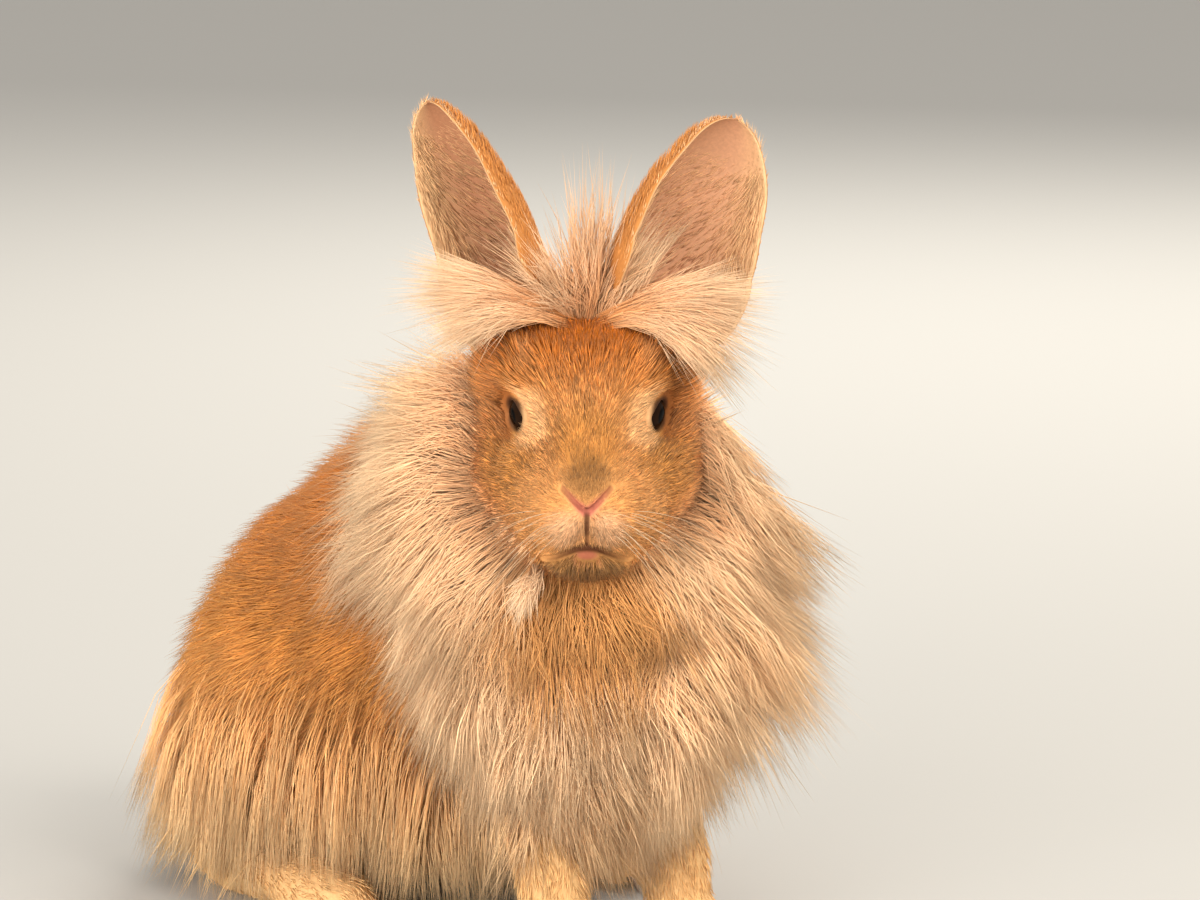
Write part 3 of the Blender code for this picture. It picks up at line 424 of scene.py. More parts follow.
def skin_net():
    """One point for each grid cell that the surface crosses, and a quad round each crossed grid edge."""
    axes = [grid_axis(GRID_LOW[i], FACE_LOW[i], FACE_HIGH[i], GRID_HIGH[i]) for i in range(3)]
    values = grid_values(axes)
    inside = values < 0
    cells = np.array(values.shape) - 1
    corners = np.array([(i, j, k) for i in (0, 1) for j in (0, 1) for k in (0, 1)])
    filled = np.zeros(cells, np.int8)
    for start in corners:
        filled += inside[tuple(slice(i, i + count) for i, count in zip(start, cells))]
    active = (filled > 0) & (filled < 8)
    index = np.full(cells, -1)
    index[active] = np.arange(active.sum())
    where = np.argwhere(active)
    total = np.zeros((len(where), 3))
    crossings = np.zeros(len(where))
    for start in corners:
        for axis in np.flatnonzero(start == 0):
            end = start.copy()
            end[axis] = 1
            at_start = values[tuple((where + start).T)]
            at_end = values[tuple((where + end).T)]
            crossed = (at_start < 0) != (at_end < 0)
            share = np.where(crossed, at_start / np.where(crossed, at_start - at_end, 1.0), 0.0)
            total += crossed[:, None] * (start + share[:, None] * (end - start))
            crossings += crossed
    place = where + total / crossings[:, None]
    points = np.stack([np.interp(place[:, i], np.arange(len(axes[i])), axes[i]) for i in range(3)], axis=1)
    quads = []
    for axis in range(3):
        second, third = (axis + 1) % 3, (axis + 2) % 3
        crossed = inside != np.roll(inside, -1, axis)
        crossed[tuple(slice(None) if i != axis else slice(-1, None) for i in range(3))] = False
        edges = np.argwhere(crossed)
        around = []
        for back_second, back_third in ((1, 1), (0, 1), (0, 0), (1, 0)):
            cell = edges.copy()
            cell[:, second] -= back_second
            cell[:, third] -= back_third
            around.append(index[tuple(cell.T)])
        ring = np.stack(around, axis=1)
        leaving = inside[tuple(edges.T)]
        ring[~leaving] = ring[~leaving][:, ::-1]
        quads.append(ring)
    return from_head(points), np.concatenate(quads)


def settle(points, quads, rounds=2):
    """Evens out the points and draws them onto the surface."""
    for _ in range(rounds):
        total = np.zeros_like(points)
        count = np.zeros(len(points))
        for a in range(4):
            np.add.at(total, quads[:, a], points[quads[:, (a + 1) % 4]])
            np.add.at(count, quads[:, a], 1)
        points = 0.5 * points + 0.5 * total / count[:, None]
        slope = gradient(skin_field, points)
        steep = np.maximum((slope**2).sum(1), 0.2)
        step = np.clip(skin_field(points) / steep, -1.5, 1.5)
        points = points - step[:, None] * slope
    return points


def vertex_normals(points, faces):
    normals = np.zeros_like(points)
    across = np.cross(points[faces[:, 1]] - points[faces[:, 0]], points[faces[:, 2]] - points[faces[:, 0]])
    for corner in range(3):
        np.add.at(normals, faces[:, corner], across)
    return unit(normals)


# Ears: the curled sheet of the solids, thinner by its coat.

EAR_ROOT = np.array([15.5, 15.0, 9.0])
EAR_THICK = 1.7
EAR_NARROW = 9.0
EAR_TUFTS = 6500
# Each ear's pink holds painted light: the right ear's is darker, as painted shade, and the left ear's
# lighter, as painted light.
RIGHT_EAR = {
    "tip": np.array([-54.0, 24.0, 103.0]),
    "opens": math.radians(-46.0),
    "wide": 20.5,
    "pink": (172, 120, 88),
}
LEFT_EAR = {
    "tip": np.array([50.5, 24.0, 97.0]),
    "opens": math.radians(34.0),
    "wide": 26.0,
    "pink": (212, 158, 122),
}
EAR_ROWS, EAR_COLUMNS = 60, 40


def ear_frame(ear):
    side = 1 if ear["tip"][0] > 0 else -1
    root = EAR_ROOT * np.array([side, 1, 1])
    along = unit(ear["tip"] - root)
    opens = np.array([math.sin(ear["opens"]), -math.cos(ear["opens"]), 0.0])
    opens = unit(opens - along * (opens @ along))
    return side, root, along, opens, np.cross(along, opens)


def ear_point(ear, t, share, offset):
    """A point of the ear's sheet: t runs from root to tip, share from edge to edge, offset outwards."""
    side, root, _, opens, across = ear_frame(ear)
    t, share = np.asarray(t, float), np.asarray(share, float)
    bow = times(np.array([side * -5.0, 5.0, 0.0]), np.sin(math.pi * t))
    spine = root + times(ear["tip"] - root, t) + bow
    opened = np.sin(0.5 * math.pi * np.clip((t - 0.08) / 0.4, 0.0, 1.0)) ** 0.9
    width = EAR_NARROW + (ear["wide"] - EAR_NARROW) * opened
    tapered = ear["wide"] * np.maximum(0.0, 1.0 - (np.maximum(t - 0.45, 0.0) / 0.55) ** 2) ** 0.47
    width = np.maximum(np.minimum(width, tapered), 1.0)
    half_angle = np.radians(150.0 - 55.0 * np.clip((t - 0.1) / 0.4, 0.0, 1.0) ** 0.8 - 18.0 * t**3)
    inner_edge = (share * side < 0) * (1.0 - smooth(t, 0.12, 0.5))
    angle = half_angle * share * (1.0 - 0.5 * inner_edge)
    ripple = 0.35 * np.sin(t * 23.0 + share * 2.0) * share**2
    way = times(across, np.sin(angle)) - times(opens, np.cos(angle))
    return spine + times(opens, width * 0.55) + times(way, np.maximum(width + offset + ripple, 0.3))


def ear_grid():
    """The ear's rows from root to tip and its columns from edge to edge, point by point."""
    t = 1.0 - (1.0 - np.linspace(0.0, 1.0, EAR_ROWS + 1)) ** 1.6
    share = np.linspace(-1.0, 1.0, EAR_COLUMNS + 1)
    return [grid.reshape(-1) for grid in np.meshgrid(t, share, indexing="ij")]


def ear_sheet(ear):
    """The ear as a closed sheet, thinnest at its rim."""
    rows, columns = ear_grid()
    half = 0.5 * EAR_THICK * (1.0 - 0.4 * np.abs(columns) ** 3) * (1.0 - 0.3 * rows)
    points = np.concatenate([ear_point(ear, rows, columns, half), ear_point(ear, rows, columns, -half)])
    wide, behind = EAR_COLUMNS + 1, len(rows)
    faces = []
    for row in range(EAR_ROWS):
        for column in range(EAR_COLUMNS):
            a = row * wide + column
            faces.append((a, a + 1, a + wide + 1, a + wide))
            faces.append((behind + a, behind + a + wide, behind + a + wide + 1, behind + a + 1))
        left, right = row * wide, row * wide + EAR_COLUMNS
        faces.append((left, left + wide, behind + left + wide, behind + left))
        faces.append((right + wide, right, behind + right, behind + right + wide))
    for column in range(EAR_COLUMNS):
        low, high = column, EAR_ROWS * wide + column
        faces.append((low + 1, low, behind + low, behind + low + 1))
        faces.append((high, high + 1, behind + high + 1, behind + high))
    faces = np.array(faces)
    points = from_head(points)
    a, b, c = (points[faces[:, i]] for i in range(3))
    if (np.cross(b - a, c - a) * a).sum() < 0:
        faces = faces[:, ::-1]
    return points, faces


# Colours, as sRGB of the coat in even light, made linear; some of them also hold painted shade and painted
# light, as said where they are used.


def tone(red, green, blue):
    share = np.array([red, green, blue]) / 255.0
    return np.where(share <= 0.04045, share / 12.92, ((share + 0.055) / 1.055) ** 2.4)


FOREHEAD = tone(188, 102, 20)
CHEEK = tone(226, 162, 98)
CHEEK_SIDE = tone(218, 136, 70)
BRIDGE = tone(194, 130, 60)
NOSE_PATCH = tone(124, 82, 40)
NOSE_PINK = tone(206, 112, 98)
# Painted shade in the nostrils' slits.
NOSTRIL_SHADE = tone(92, 44, 32)
LIP_WHITE = tone(220, 174, 134)
# Painted shade in the mouth's line and the philtrum.
MOUTH_SHADE = tone(84, 44, 28)
LIP_PINK = tone(158, 84, 66)
CHIN = tone(160, 112, 62)
PALE_RIM = tone(246, 196, 142)
LID_DARK = tone(46, 24, 16)
# Painted shade beside the eyes.
LID_SHADE = tone(146, 82, 36)
MANE_CREAM = tone(249, 211, 169)
MANE_ORANGE = tone(200, 134, 56)
BIB_CREAM = tone(236, 190, 132)
BACK_RUST = tone(222, 140, 68)
FLANK = tone(226, 152, 76)
FLANK_LOW = tone(242, 168, 82)
SKIRT_PALE = tone(255, 224, 178)
LEG_TAN = tone(238, 192, 134)
EAR_BACK = tone(206, 136, 72)
EAR_FRINGE = tone(222, 176, 130)
EAR_RIM = tone(240, 200, 152)
EAR_SHADE = tone(182, 124, 82)
PARTING = tone(212, 134, 64)
FORELOCK = tone(232, 186, 142)
FORELOCK_TIP = tone(246, 214, 178)
TUFT_TIP = tone(216, 182, 148)
TAIL_CREAM = tone(240, 196, 146)
# Paler hair tips: partly the hair's own colour and partly painted light, standing for light through the thin
# tips.
TIP_WARM = tone(255, 220, 168)


def near(points, centre, inner, outer):
    """1 within a distance of a place and its mirror, and 0 beyond another."""
    spot = np.array(centre, float)
    away = np.linalg.norm(points - spot, axis=1)
    if spot[0]:
        away = np.minimum(away, np.linalg.norm(points - spot * MIRROR, axis=1))
    return 1.0 - smooth(away, inner, outer)


def ear_inside(ear, t, share):
    """Pink in the cup, with painted shade making it darker to its inner side and down at its base, paler at
    the outer rim.
    """
    side = 1 if ear["tip"][0] > 0 else -1
    outward = share * side
    colour = mix(tone(*ear["pink"])[None], EAR_SHADE, 0.6 * smooth(-outward, 0.0, 0.8) * (1.0 - 0.5 * t))
    colour = mix(colour, EAR_SHADE, 0.6 * (1.0 - smooth(t, 0.12, 0.4)))
    colour = mix(colour, EAR_FRINGE, 0.7 * smooth(outward, 0.35, 0.9))
    return mix(colour, EAR_RIM, 0.9 * smooth(np.abs(share), 0.84, 0.97))


def lower_lip(q):
    """1 on the bare middle of the lower lip."""
    return near(q * np.array([0.45, 0.5, 1.0]), (0, -19.0, -42.4), 1.2, 2.4)


def twin_distance(q, route):
    """The distance to a line of the face or to its mirror image."""
    return np.minimum(line_distance(q, route), line_distance(q * MIRROR, route))


def over_mouth(q):
    """The height over the mouth's line."""
    line = np.array(MOUTH)
    return q[:, 2] - np.interp(np.abs(q[:, 0]), line[:, 0], line[:, 2])


# Patches of the face: the tone, its share, its middle, and where it starts and stops to fade.
FACE_PATCHES = [
    (BRIDGE, 0.8, (0, -30, -6), 6.0, 17.0),
    (BRIDGE, 0.7, (26, -8, -16), 8.0, 20.0),
    (NOSE_PATCH, 0.8, (0, -41, -14.5), 4.0, 12.5),
    (LIP_WHITE, 0.9, (6.0, -43, -34), 4.0, 10.5),
    # The chin's darker brown is partly the fur's own colour and partly painted shade under the mouth.
    (CHIN, 0.9, (0, -33, -50), 7.5, 15.0),
]


def head_colour(points):
    q = to_head(points)
    aside = np.abs(q[:, 0])
    colour = mix(FOREHEAD[None], CHEEK[None], smooth(-q[:, 2], -24.0, 4.0))
    colour = mix(colour, CHEEK_SIDE, 0.75 * smooth(aside, 22.0, 31.0))
    for patch, share, *spot in FACE_PATCHES:
        colour = mix(colour, patch, share * near(q, *spot))
    # The chin below the mouth's line darker: partly the fur's own brown and partly painted shade under the
    # lip.
    under = near(q * np.array([0.5, 1.0, 1.0]), (0, -36, -46), 7.0, 12.5)
    colour = mix(colour, CHIN, 0.8 * under * smooth(-over_mouth(q), 0.0, 1.0))
    colour = mix(colour, LIP_PINK, 0.8 * lower_lip(q))
    inward = 1.0 - smooth(aside, 21.0, 24.5)
    colour = mix(colour, PALE_RIM, 0.8 * inward * near(q, (20, -9, -2), 6.5, 14.0))
    colour = mix(colour, PALE_RIM, 0.6 * near(q, (17, -4, 16), 3.0, 9.0))
    # Painted shade: the lid and fur just outside each eye darkened brown.
    outward = smooth(aside, 24.6, 26.4) * near(q, (27, -3, 0), 8.0, 13.0)
    colour = mix(colour, LID_SHADE, 0.85 * outward)
    for side in (-1, 1):
        rim = line_distance(q, lid_route(side, LID_EDGE))
        reach = 0.5 + 0.5 * smooth(side * q[:, 0], 20.5, 23.5)
        colour = mix(colour, LID_DARK, 0.95 * (1.0 - smooth(rim - reach, 0.0, 0.8)))
    nose = twin_distance(q, NOSTRIL)
    colour = mix(colour, NOSE_PINK, 0.85 * (1.0 - smooth(nose + 0.2 * aside, 1.3, 3.0)))
    # Painted shade: dark along the mouth's line and down the groove of the philtrum.
    parted = np.minimum(0.7 * twin_distance(q, MOUTH) + 0.06 * aside, line_distance(q, PHILTRUM) + 0.25)
    colour = mix(colour, MOUTH_SHADE, 0.9 * (1.0 - smooth(parted, 0.7, 1.7)))
    # Painted shade: dark in the nostrils' slits.
    return mix(colour, NOSTRIL_SHADE, 0.85 * (1.0 - smooth(nose, 0.5, 1.2)))


def under_chin(q):
    """1 on the orange bib under the chin, and 0 on the cream wool round it."""
    return near(q * np.array([0.6, 0.6, 1.0]), (0, -5, -63), 9.5, 25.0)


def orange_share(q):
    """How orange the mane is: most under the chin, less beside it on the left."""
    beside = 1.0 - smooth(np.linalg.norm(q - np.array([46.0, -5.0, -60.0]), axis=1), 8.0, 26.0)
    return np.maximum(under_chin(q), 0.55 * beside)


def neck_colour(points):
    q = to_head(points)
    colour = mix(MANE_CREAM[None], MANE_ORANGE[None], 0.85 * orange_share(q))
    return mix(colour, BIB_CREAM, 0.6 * (1.0 - smooth(points[:, 2], 70.0, 105.0)))


def trunk_colour(points):
    height = points[:, 2]
    colour = mix(FLANK[None], BACK_RUST[None], smooth(height, 95.0, 150.0))
    colour = mix(colour, FLANK_LOW, 0.8 * (1.0 - smooth(height, 40.0, 130.0)))
    return mix(colour, SKIRT_PALE, 0.85 * (1.0 - smooth(height, 20.0, 105.0)))


def region_shares(points):
    """How much each part's colours count at a point of the skin."""
    values = part_values(points)
    nearness = np.exp(-(values - values.min(axis=1, keepdims=True)) / 3.0)
    return nearness / nearness.sum(axis=1, keepdims=True)


PAINTED = {"head": head_colour, "neck": neck_colour, "trunk": trunk_colour}


def marking_and_shade(points):
    """The coat's colour at points of the skin, with the painted shade of the face's lids, creases and chin
    in it.
    """
    shares = region_shares(points)
    colour = np.zeros((len(points), 3))
    for column, name in enumerate(PART_NAMES):
        if name in PAINTED:
            own = PAINTED[name](points)
        else:
            own = TAIL_CREAM if name == "tail" else LEG_TAN
        colour += shares[:, column, None] * own
    return colour


# Blender objects and materials.


def new_object(name, points, faces, colours=None, floats=None, uv=None):
    """A mesh of points in millimetres, with its colours and values at each point and its bake map."""
    mesh = bpy.data.meshes.new(name)
    sides = faces.shape[1]
    mesh.vertices.add(len(points))
    mesh.vertices.foreach_set("co", ((points + SHIFT) * METRES).astype(np.float32).ravel())
    mesh.loops.add(faces.size)
    mesh.loops.foreach_set("vertex_index", faces.astype(np.int32).ravel())
    mesh.polygons.add(len(faces))
    mesh.polygons.foreach_set("loop_start", np.arange(0, faces.size, sides, dtype=np.int32))
    mesh.polygons.foreach_set("use_smooth", np.ones(len(faces), bool))
    mesh.update(calc_edges=True)
    if colours is not None:
        layer = mesh.color_attributes.new("marking_and_shade", "FLOAT_COLOR", "POINT")
        filled = np.concatenate([colours, np.ones((len(points), 1))], axis=1)
        layer.data.foreach_set("color", filled.astype(np.float32).ravel())
    for word, values in (floats or {}).items():
        layer = mesh.attributes.new(word, "FLOAT", "POINT")
        layer.data.foreach_set("value", np.asarray(values, np.float32).ravel())
    if uv is not None:
        layer = mesh.uv_layers.new(name="OFBake")
        layer.data.foreach_set("uv", uv[faces.ravel()].astype(np.float32).ravel())
    built = bpy.data.objects.new(name, mesh)
    bpy.context.scene.collection.objects.link(built)
    return built


def set_inputs(material, node, inputs):
    """Sets a node's inputs to values, or links them to other nodes' outputs."""
    for word, value in inputs.items():
        if isinstance(value, bpy.types.NodeSocket):
            material.node_tree.links.new(value, node.inputs[word])
        else:
            node.inputs[word].default_value = value


def set_shader(material, inputs):
    set_inputs(material, material.node_tree.nodes["Principled BSDF"], inputs)


def new_material(name, inputs):
    material = bpy.data.materials.new(name)
    material.use_nodes = True
    set_shader(material, inputs)
    return material


def add_node(material, kind, inputs, **settings):
    node = material.node_tree.nodes.new("ShaderNode" + kind)
    for word, value in settings.items():
        setattr(node, word, value)
    set_inputs(material, node, inputs)
    return node


def point_value(material, word, output):
    """What the mesh keeps at its points under a name."""
    return add_node(material, "Attribute", {}, attribute_name=word).outputs[output]


def noise(material, scale, detail):
    place = add_node(material, "TexCoord", {}).outputs["Object"]
    return add_node(material, "TexNoise", {"Scale": scale, "Detail": detail, "Vector": place}).outputs["Fac"]


def coat_material(name, roughness=0.7, sheen=0.04):
    """Hair: its colour with the painted shade and paler tips it holds, with each tuft a little lighter or
    darker, and a soft mottle.
    """
    gloss = {"Roughness": roughness, "Specular IOR Level": 0.12}
    gloss |= {"Sheen Weight": sheen, "Sheen Roughness": 0.5, "Sheen Tint": (1.0, 0.9, 0.78, 1.0)}
    material = new_material(name, gloss)
    mottled = {0: noise(material, 60.0, 4.0), 1: 0.5, 2: point_value(material, "vary", "Fac")}
    value = add_node(material, "Math", mottled, operation="MULTIPLY_ADD").outputs["Value"]
    shades = {"Saturation": 1.02, "Color": point_value(material, "marking_and_shade", "Color"), "Value": value}
    set_shader(material, {"Base Color": add_node(material, "HueSaturation", shades).outputs["Color"]})
    return material


def skin_material():
    """Skin under short fur: its colour with painted shade in it, with a fine bump of hair."""
    material = new_material("skin", {"Roughness": 0.75, "Specular IOR Level": 0.15})
    fine = noise(material, 900.0, 3.0)
    tint = add_node(material, "MapRange", {"To Min": 0.75, "To Max": 1.1, "Value": fine})
    shades = {"Color": point_value(material, "marking_and_shade", "Color"), "Value": tint.outputs["Result"]}
    shaded = add_node(material, "HueSaturation", shades)
    bump = add_node(material, "Bump", {"Strength": 0.35, "Distance": 0.0004, "Height": fine})
    set_shader(material, {"Base Color": shaded.outputs["Color"], "Normal": bump.outputs["Normal"]})
    return material


COAT = coat_material("coat")
LONG_COAT = coat_material("long_coat", roughness=0.6, sheen=0.06)


def finish_piece(built, material):
    built.data.materials.append(material)
    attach(built, "root")


# Hair: each tuft is a tapered spike of three sides along a bent middle line.

PATCH = 0.003


def ring_faces(rings, sides, start=0):
    """Triangles between rings of points that follow each other."""
    faces = []
    for ring in range(rings - 1):
        for side in range(sides):
            a = start + ring * sides + side
            b = start + ring * sides + (side + 1) % sides
            faces += [(a, b, b + sides), (a, b + sides, a + sides)]
    return faces


def tufts(
    name, slot, material, roots, bends, tips, faces_out, width, root_colour, tip_colour, uv, rings, vary,
    curl=None,
):
    """One piece of hairs from their roots by way of a bend to their tips, swaying by the curl. rings are the
    shares of the length that have a ring of points."""
    shares = np.array(rings)
    count, levels = len(roots), len(shares)
    middle = (
        (1 - shares)[None, :, None] ** 2 * roots[:, None]
        + (2 * shares * (1 - shares))[None, :, None] * bends[:, None]
        + (shares**2)[None, :, None] * tips[:, None]
    )
    if curl is not None:
        middle = middle + curl[:, None] * np.sin(2 * math.pi * shares)[None, :, None]
    rising, lying = (bends - roots)[:, None], (tips - bends)[:, None]
    along = unit((1 - shares)[None, :, None] * rising + shares[None, :, None] * lying)
    across = np.cross(along, faces_out[:, None])
    weak = np.linalg.norm(across, axis=2) < 0.15
    across[weak] = np.cross(along[weak], np.array([0.3, 0.2, 1.0]))
    across = unit(across)
    above = np.cross(across, along)
    profile = np.interp(shares, [0.0, 0.35, 0.75, 1.0], [0.75, 1.0, 0.7, 0.2])
    half = 0.5 * width[:, None] * profile[None, :]
    left = middle - across * half[:, :, None] - above * half[:, :, None] * 0.3
    right = middle + across * half[:, :, None] - above * half[:, :, None] * 0.3
    top = middle + above * half[:, :, None] * 0.55
    ring = np.stack([left, right, top], axis=2).reshape(count, levels * 3, 3)
    points = np.concatenate([ring, tips[:, None]], axis=1)
    points[:, :, 2] = np.maximum(points[:, :, 2], 0.15)
    each = levels * 3 + 1
    pattern = [(0, 2, 1), *ring_faces(levels, 3)]
    last = (levels - 1) * 3
    pattern += [(last + side, last + (side + 1) % 3, each - 1) for side in range(3)]
    faces = (np.arange(count)[:, None, None] * each + np.array(pattern)[None]).reshape(-1, 3)
    height = np.concatenate([np.repeat(shares, 3), [1.0]])
    colours = mix(root_colour[:, None], tip_colour[:, None], (height**1.2)[None, :, None])
    # Painted shade: each hair darker towards its root, down to 0.86 of its colour there, where the coat
    # shades itself.
    colours = colours * (0.86 + 0.14 * np.minimum(height / 0.5, 1.0))[None, :, None]
    sideways = np.concatenate([np.tile([-0.5, 0.5, 0.0], levels), [0.0]])
    spots = uv[:, None] + PATCH * np.stack([sideways, height - 0.5], axis=1)[None]
    points, colours = points.reshape(-1, 3), colours.reshape(-1, 3)
    spots = np.clip(spots.reshape(-1, 2), 0.0, 1.0)
    built = new_object(name, points, faces, colours, {"vary": np.repeat(vary, each)}, spots)
    finish_piece(built, material)


def unwrapped(points, middle, axis):
    """Roots round a line on an unwrap of the skin: the turn about the line, and the way along it."""
    axis = unit(np.array(axis, float))
    first = unit(np.cross(axis, [0.31, 0.2, 0.93]))
    second = np.cross(axis, first)
    rest = points - np.array(middle, float)
    turn = np.arctan2(rest @ second, rest @ first) / (2 * math.pi) + 0.5
    height = rest @ axis
    low, high = height.min(), height.max()
    return np.stack([0.01 + 0.98 * turn, 0.01 + 0.98 * (height - low) / (high - low)], axis=1)


def nearest_guides(points, spacing):
    """For each point the index of the nearest of a few of them, spread evenly, that lead the rest."""
    count = max(2, int(len(points) / spacing))
    guides = points[rng.choice(len(points), count, replace=False)]
    tree = KDTree(count)
    for i, guide in enumerate(guides):
        tree.insert(guide, i)
    tree.balance()
    return guides, np.array([tree.find(point)[1] for point in points])


class Skin:
    """The skin's mesh, from which the coat grows."""

    def __init__(self):
        points, quads = skin_net()
        points = settle(points, quads)
        self.points = points
        self.quads = quads
        self.faces = np.concatenate([quads[:, (0, 1, 2)], quads[:, (0, 2, 3)]])
        self.normals = vertex_normals(points, self.faces)
        a, b, c = (points[self.faces[:, i]] for i in range(3))
        self.areas = np.linalg.norm(np.cross(b - a, c - a), axis=1) / 2
        self.middles = (a + b + c) / 3
        self.shares = region_shares(self.middles)

    def roots(self, weights, count):
        """Roots spread evenly over the faces by their weights, with the skin's normals there."""
        order = np.lexsort((self.middles[:, 0] // 4, self.middles[:, 1] // 4, self.middles[:, 2] // 4))
        total = np.cumsum((self.areas * weights)[order])
        marks = (np.arange(count) + rng.random(count)) / count * total[-1]
        chosen = order[np.minimum(np.searchsorted(total, marks), len(order) - 1)]
        first, second = rng.random(count), rng.random(count)
        flip = first + second > 1
        first[flip], second[flip] = 1 - first[flip], 1 - second[flip]
        corners = self.faces[chosen]
        parts = np.stack([1 - first - second, first, second], axis=1)[:, :, None]
        return (self.points[corners] * parts).sum(1), unit((self.normals[corners] * parts).sum(1))


def part_weight(skin, *names):
    weight = sum(skin.shares[:, PART_NAMES.index(name)] for name in names)
    return np.where(weight < 0.05, 0.0, weight)


def laid(vectors, normals):
    """Vectors laid into the skin."""
    return unit(vectors - normals * (vectors * normals).sum(1, keepdims=True))


def wave(points, size, seed):
    """A smooth wandering value, about -1 to 1, over space."""
    draw = np.random.default_rng(seed)
    value = np.zeros(len(points))
    for _ in range(5):
        way = unit(draw.normal(size=3)) * draw.uniform(0.7, 1.5) / size
        value += np.sin(points @ way * 2 * math.pi + draw.uniform(0, 6.28))
    return value / 2.6


def lie_along(roots, normals, flow, length, lift, clump, spacing, sway=0.25):
    """Bends and tips of hairs that rise from the skin by the lift and lie along the flow, drawn together in
    clumps at their tips. Also each hair's share of shade."""
    flow = laid(flow, normals)
    side = np.cross(normals, flow)
    turn = sway * wave(roots, 14.0, 3) + rng.normal(0, 0.12, len(roots))
    flow = unit(flow + times(side, turn))
    lift = lift * rng.uniform(0.75, 1.25, len(roots))
    rise = times(normals, np.sin(lift)) + times(flow, np.cos(lift))
    end = times(normals, np.sin(lift * 0.45)) + times(flow, np.cos(lift * 0.45))
    length = length * rng.uniform(0.8, 1.15, len(roots))
    guides, own = nearest_guides(roots, spacing)
    shade = rng.normal(0, 0.07, len(guides))[own]
    reach = (1.0 + rng.normal(0, 0.1, len(guides)))[own]
    length = length * reach
    bends = roots + times(rise, 0.45 * length)
    tips = bends + times(end, 0.55 * length)
    pull = guides[own] - roots
    pull = pull - normals * (pull * normals).sum(1, keepdims=True)
    return bends + 0.35 * clump * pull, tips + clump * pull, shade


# The coats, region by region.

RINGS_SHORT = (0.0, 0.45)
RINGS_LONG = (0.0, 0.3, 0.65)
MIDDLE_SHADE = 0.77


def short_coat(
    name, slot, skin, weights, count, flow_of, length_of, width, lift, clump, spacing, keep=None, grain=0.06
):
    """One piece of short fur over a region of the skin."""
    roots, normals = skin.roots(weights, count)
    if keep is not None:
        kept = keep(roots)
        roots, normals = roots[kept], normals[kept]
    length = length_of(roots)
    lift = lift(roots) if callable(lift) else lift
    bends, tips, shade = lie_along(roots, normals, flow_of(roots), length, lift, clump, spacing)
    colour = marking_and_shade(roots)
    vary = MIDDLE_SHADE + 0.7 * shade + rng.normal(0, grain, len(roots))
    thick = width * rng.uniform(0.75, 1.25, len(roots)) * np.clip(length / np.median(length), 0.5, 1.3)
    # Tips paler towards TIP_WARM: partly the hair's own colour and partly painted light through the thin
    # tips.
    pale = mix(colour, TIP_WARM, 0.12)
    uv = unwrapped(roots, roots.mean(0), (0.0, 0.3, 1.0))
    sunk = roots - normals * 0.4
    tufts(name, slot, COAT, sunk, bends, tips, normals, thick, colour, pale, uv, RINGS_SHORT, vary)


def head_flow(roots):
    """Hair lies away from the nose."""
    return turn_from_head(to_head(roots) - NOSE_TIP + np.array([0.0, 2.0, 4.5]))


def crown_share(q):
    """1 on the crown between the ears, where the forelock grows."""
    return smooth(q[:, 2], 18.0, 26.0) * (1.0 - smooth(np.abs(q[:, 0]), 18.0, 26.0))


def head_length(roots):
    """Fur is shortest at the nose, and short before the eyes and above the mouth."""
    q = to_head(roots)
    away = np.linalg.norm(q - NOSE_TIP, axis=1)
    length = np.interp(away, [4.0, 12.0, 28.0, 50.0, 62.0, 74.0], [2.0, 3.4, 5.0, 7.0, 10.5, 15.0])
    for side in (-1, 1):
        eye = eye_centre(side) + eye_axes(side)[:, 2] * EYE_RADIUS
        ahead = ((eye - q) * unit(q - NOSE_TIP)).sum(1)
        close = 1.0 - smooth(np.linalg.norm(q - eye, axis=1), 6.5, 14.0)
        length *= 1.0 - close * (0.35 + 0.43 * smooth(ahead, -4.0, 3.0))
    above = over_mouth(q)
    lip = (above > 0.0) & (above < 8.0) & (q[:, 1] < -18.0) & (np.abs(q[:, 0]) < 15.0)
    length = np.where(lip, np.minimum(length, 0.3 + 0.95 * above), length)
    return length * (1.0 + 0.35 * near(q, (0, -30, -52), 8.0, 16.0)) * (1.0 - 0.5 * crown_share(q))


def head_lift(roots):
    """Fur lies close on the face and stands out round its edge."""
    q = to_head(roots)
    away = np.linalg.norm(q - NOSE_TIP, axis=1)
    return np.radians(np.interp(away, [48.0, 66.0], [19.0, 40.0]) * (1.0 - 0.6 * crown_share(q)))


def off_the_eyes(roots):
    q = to_head(roots)
    kept = np.ones(len(q), bool)
    for side in (-1, 1):
        kept &= np.linalg.norm(q - eye_centre(side), axis=1) > EYE_RADIUS + 1.6
        kept &= line_distance(q, lid_route(side, LID_EDGE)) > 2.0
    for route, radius in CREASES:
        kept &= line_distance(q, route) > radius + 0.5
    return kept & (lower_lip(q) < 0.5)


def trunk_flow(roots):
    low = 1.0 - smooth(roots[:, 2], 40.0, 130.0)
    flow = np.stack([0.0 * low, 1.0 - 0.75 * low, -0.35 - 1.1 * low], axis=1)
    skirt = 1.0 - smooth(roots[:, 2], 35.0, 60.0)
    return mix(flow, np.array([0.0, 0.1, -1.0]), skirt)


def trunk_length(roots):
    return np.interp(roots[:, 2], [10.0, 30.0, 50.0, 80.0, 150.0], [20.0, 34.0, 36.0, 26.0, 22.0])


def trunk_lift(roots):
    """The coat lies close, and stands out a little at the skirts."""
    return np.radians(np.interp(roots[:, 2], [25.0, 60.0, 100.0, 140.0], [30.0, 16.0, 17.0, 24.0]))


def foreleg_flow(roots):
    paw = 1.0 - smooth(roots[:, 2], 8.0, 28.0)
    return mix(np.array([[0.0, -0.15, -1.0]]), np.array([0.0, -1.0, -0.2]), paw)


def hindfoot_flow(roots):
    return np.broadcast_to(np.array([0.0, -1.0, -0.15]), roots.shape)


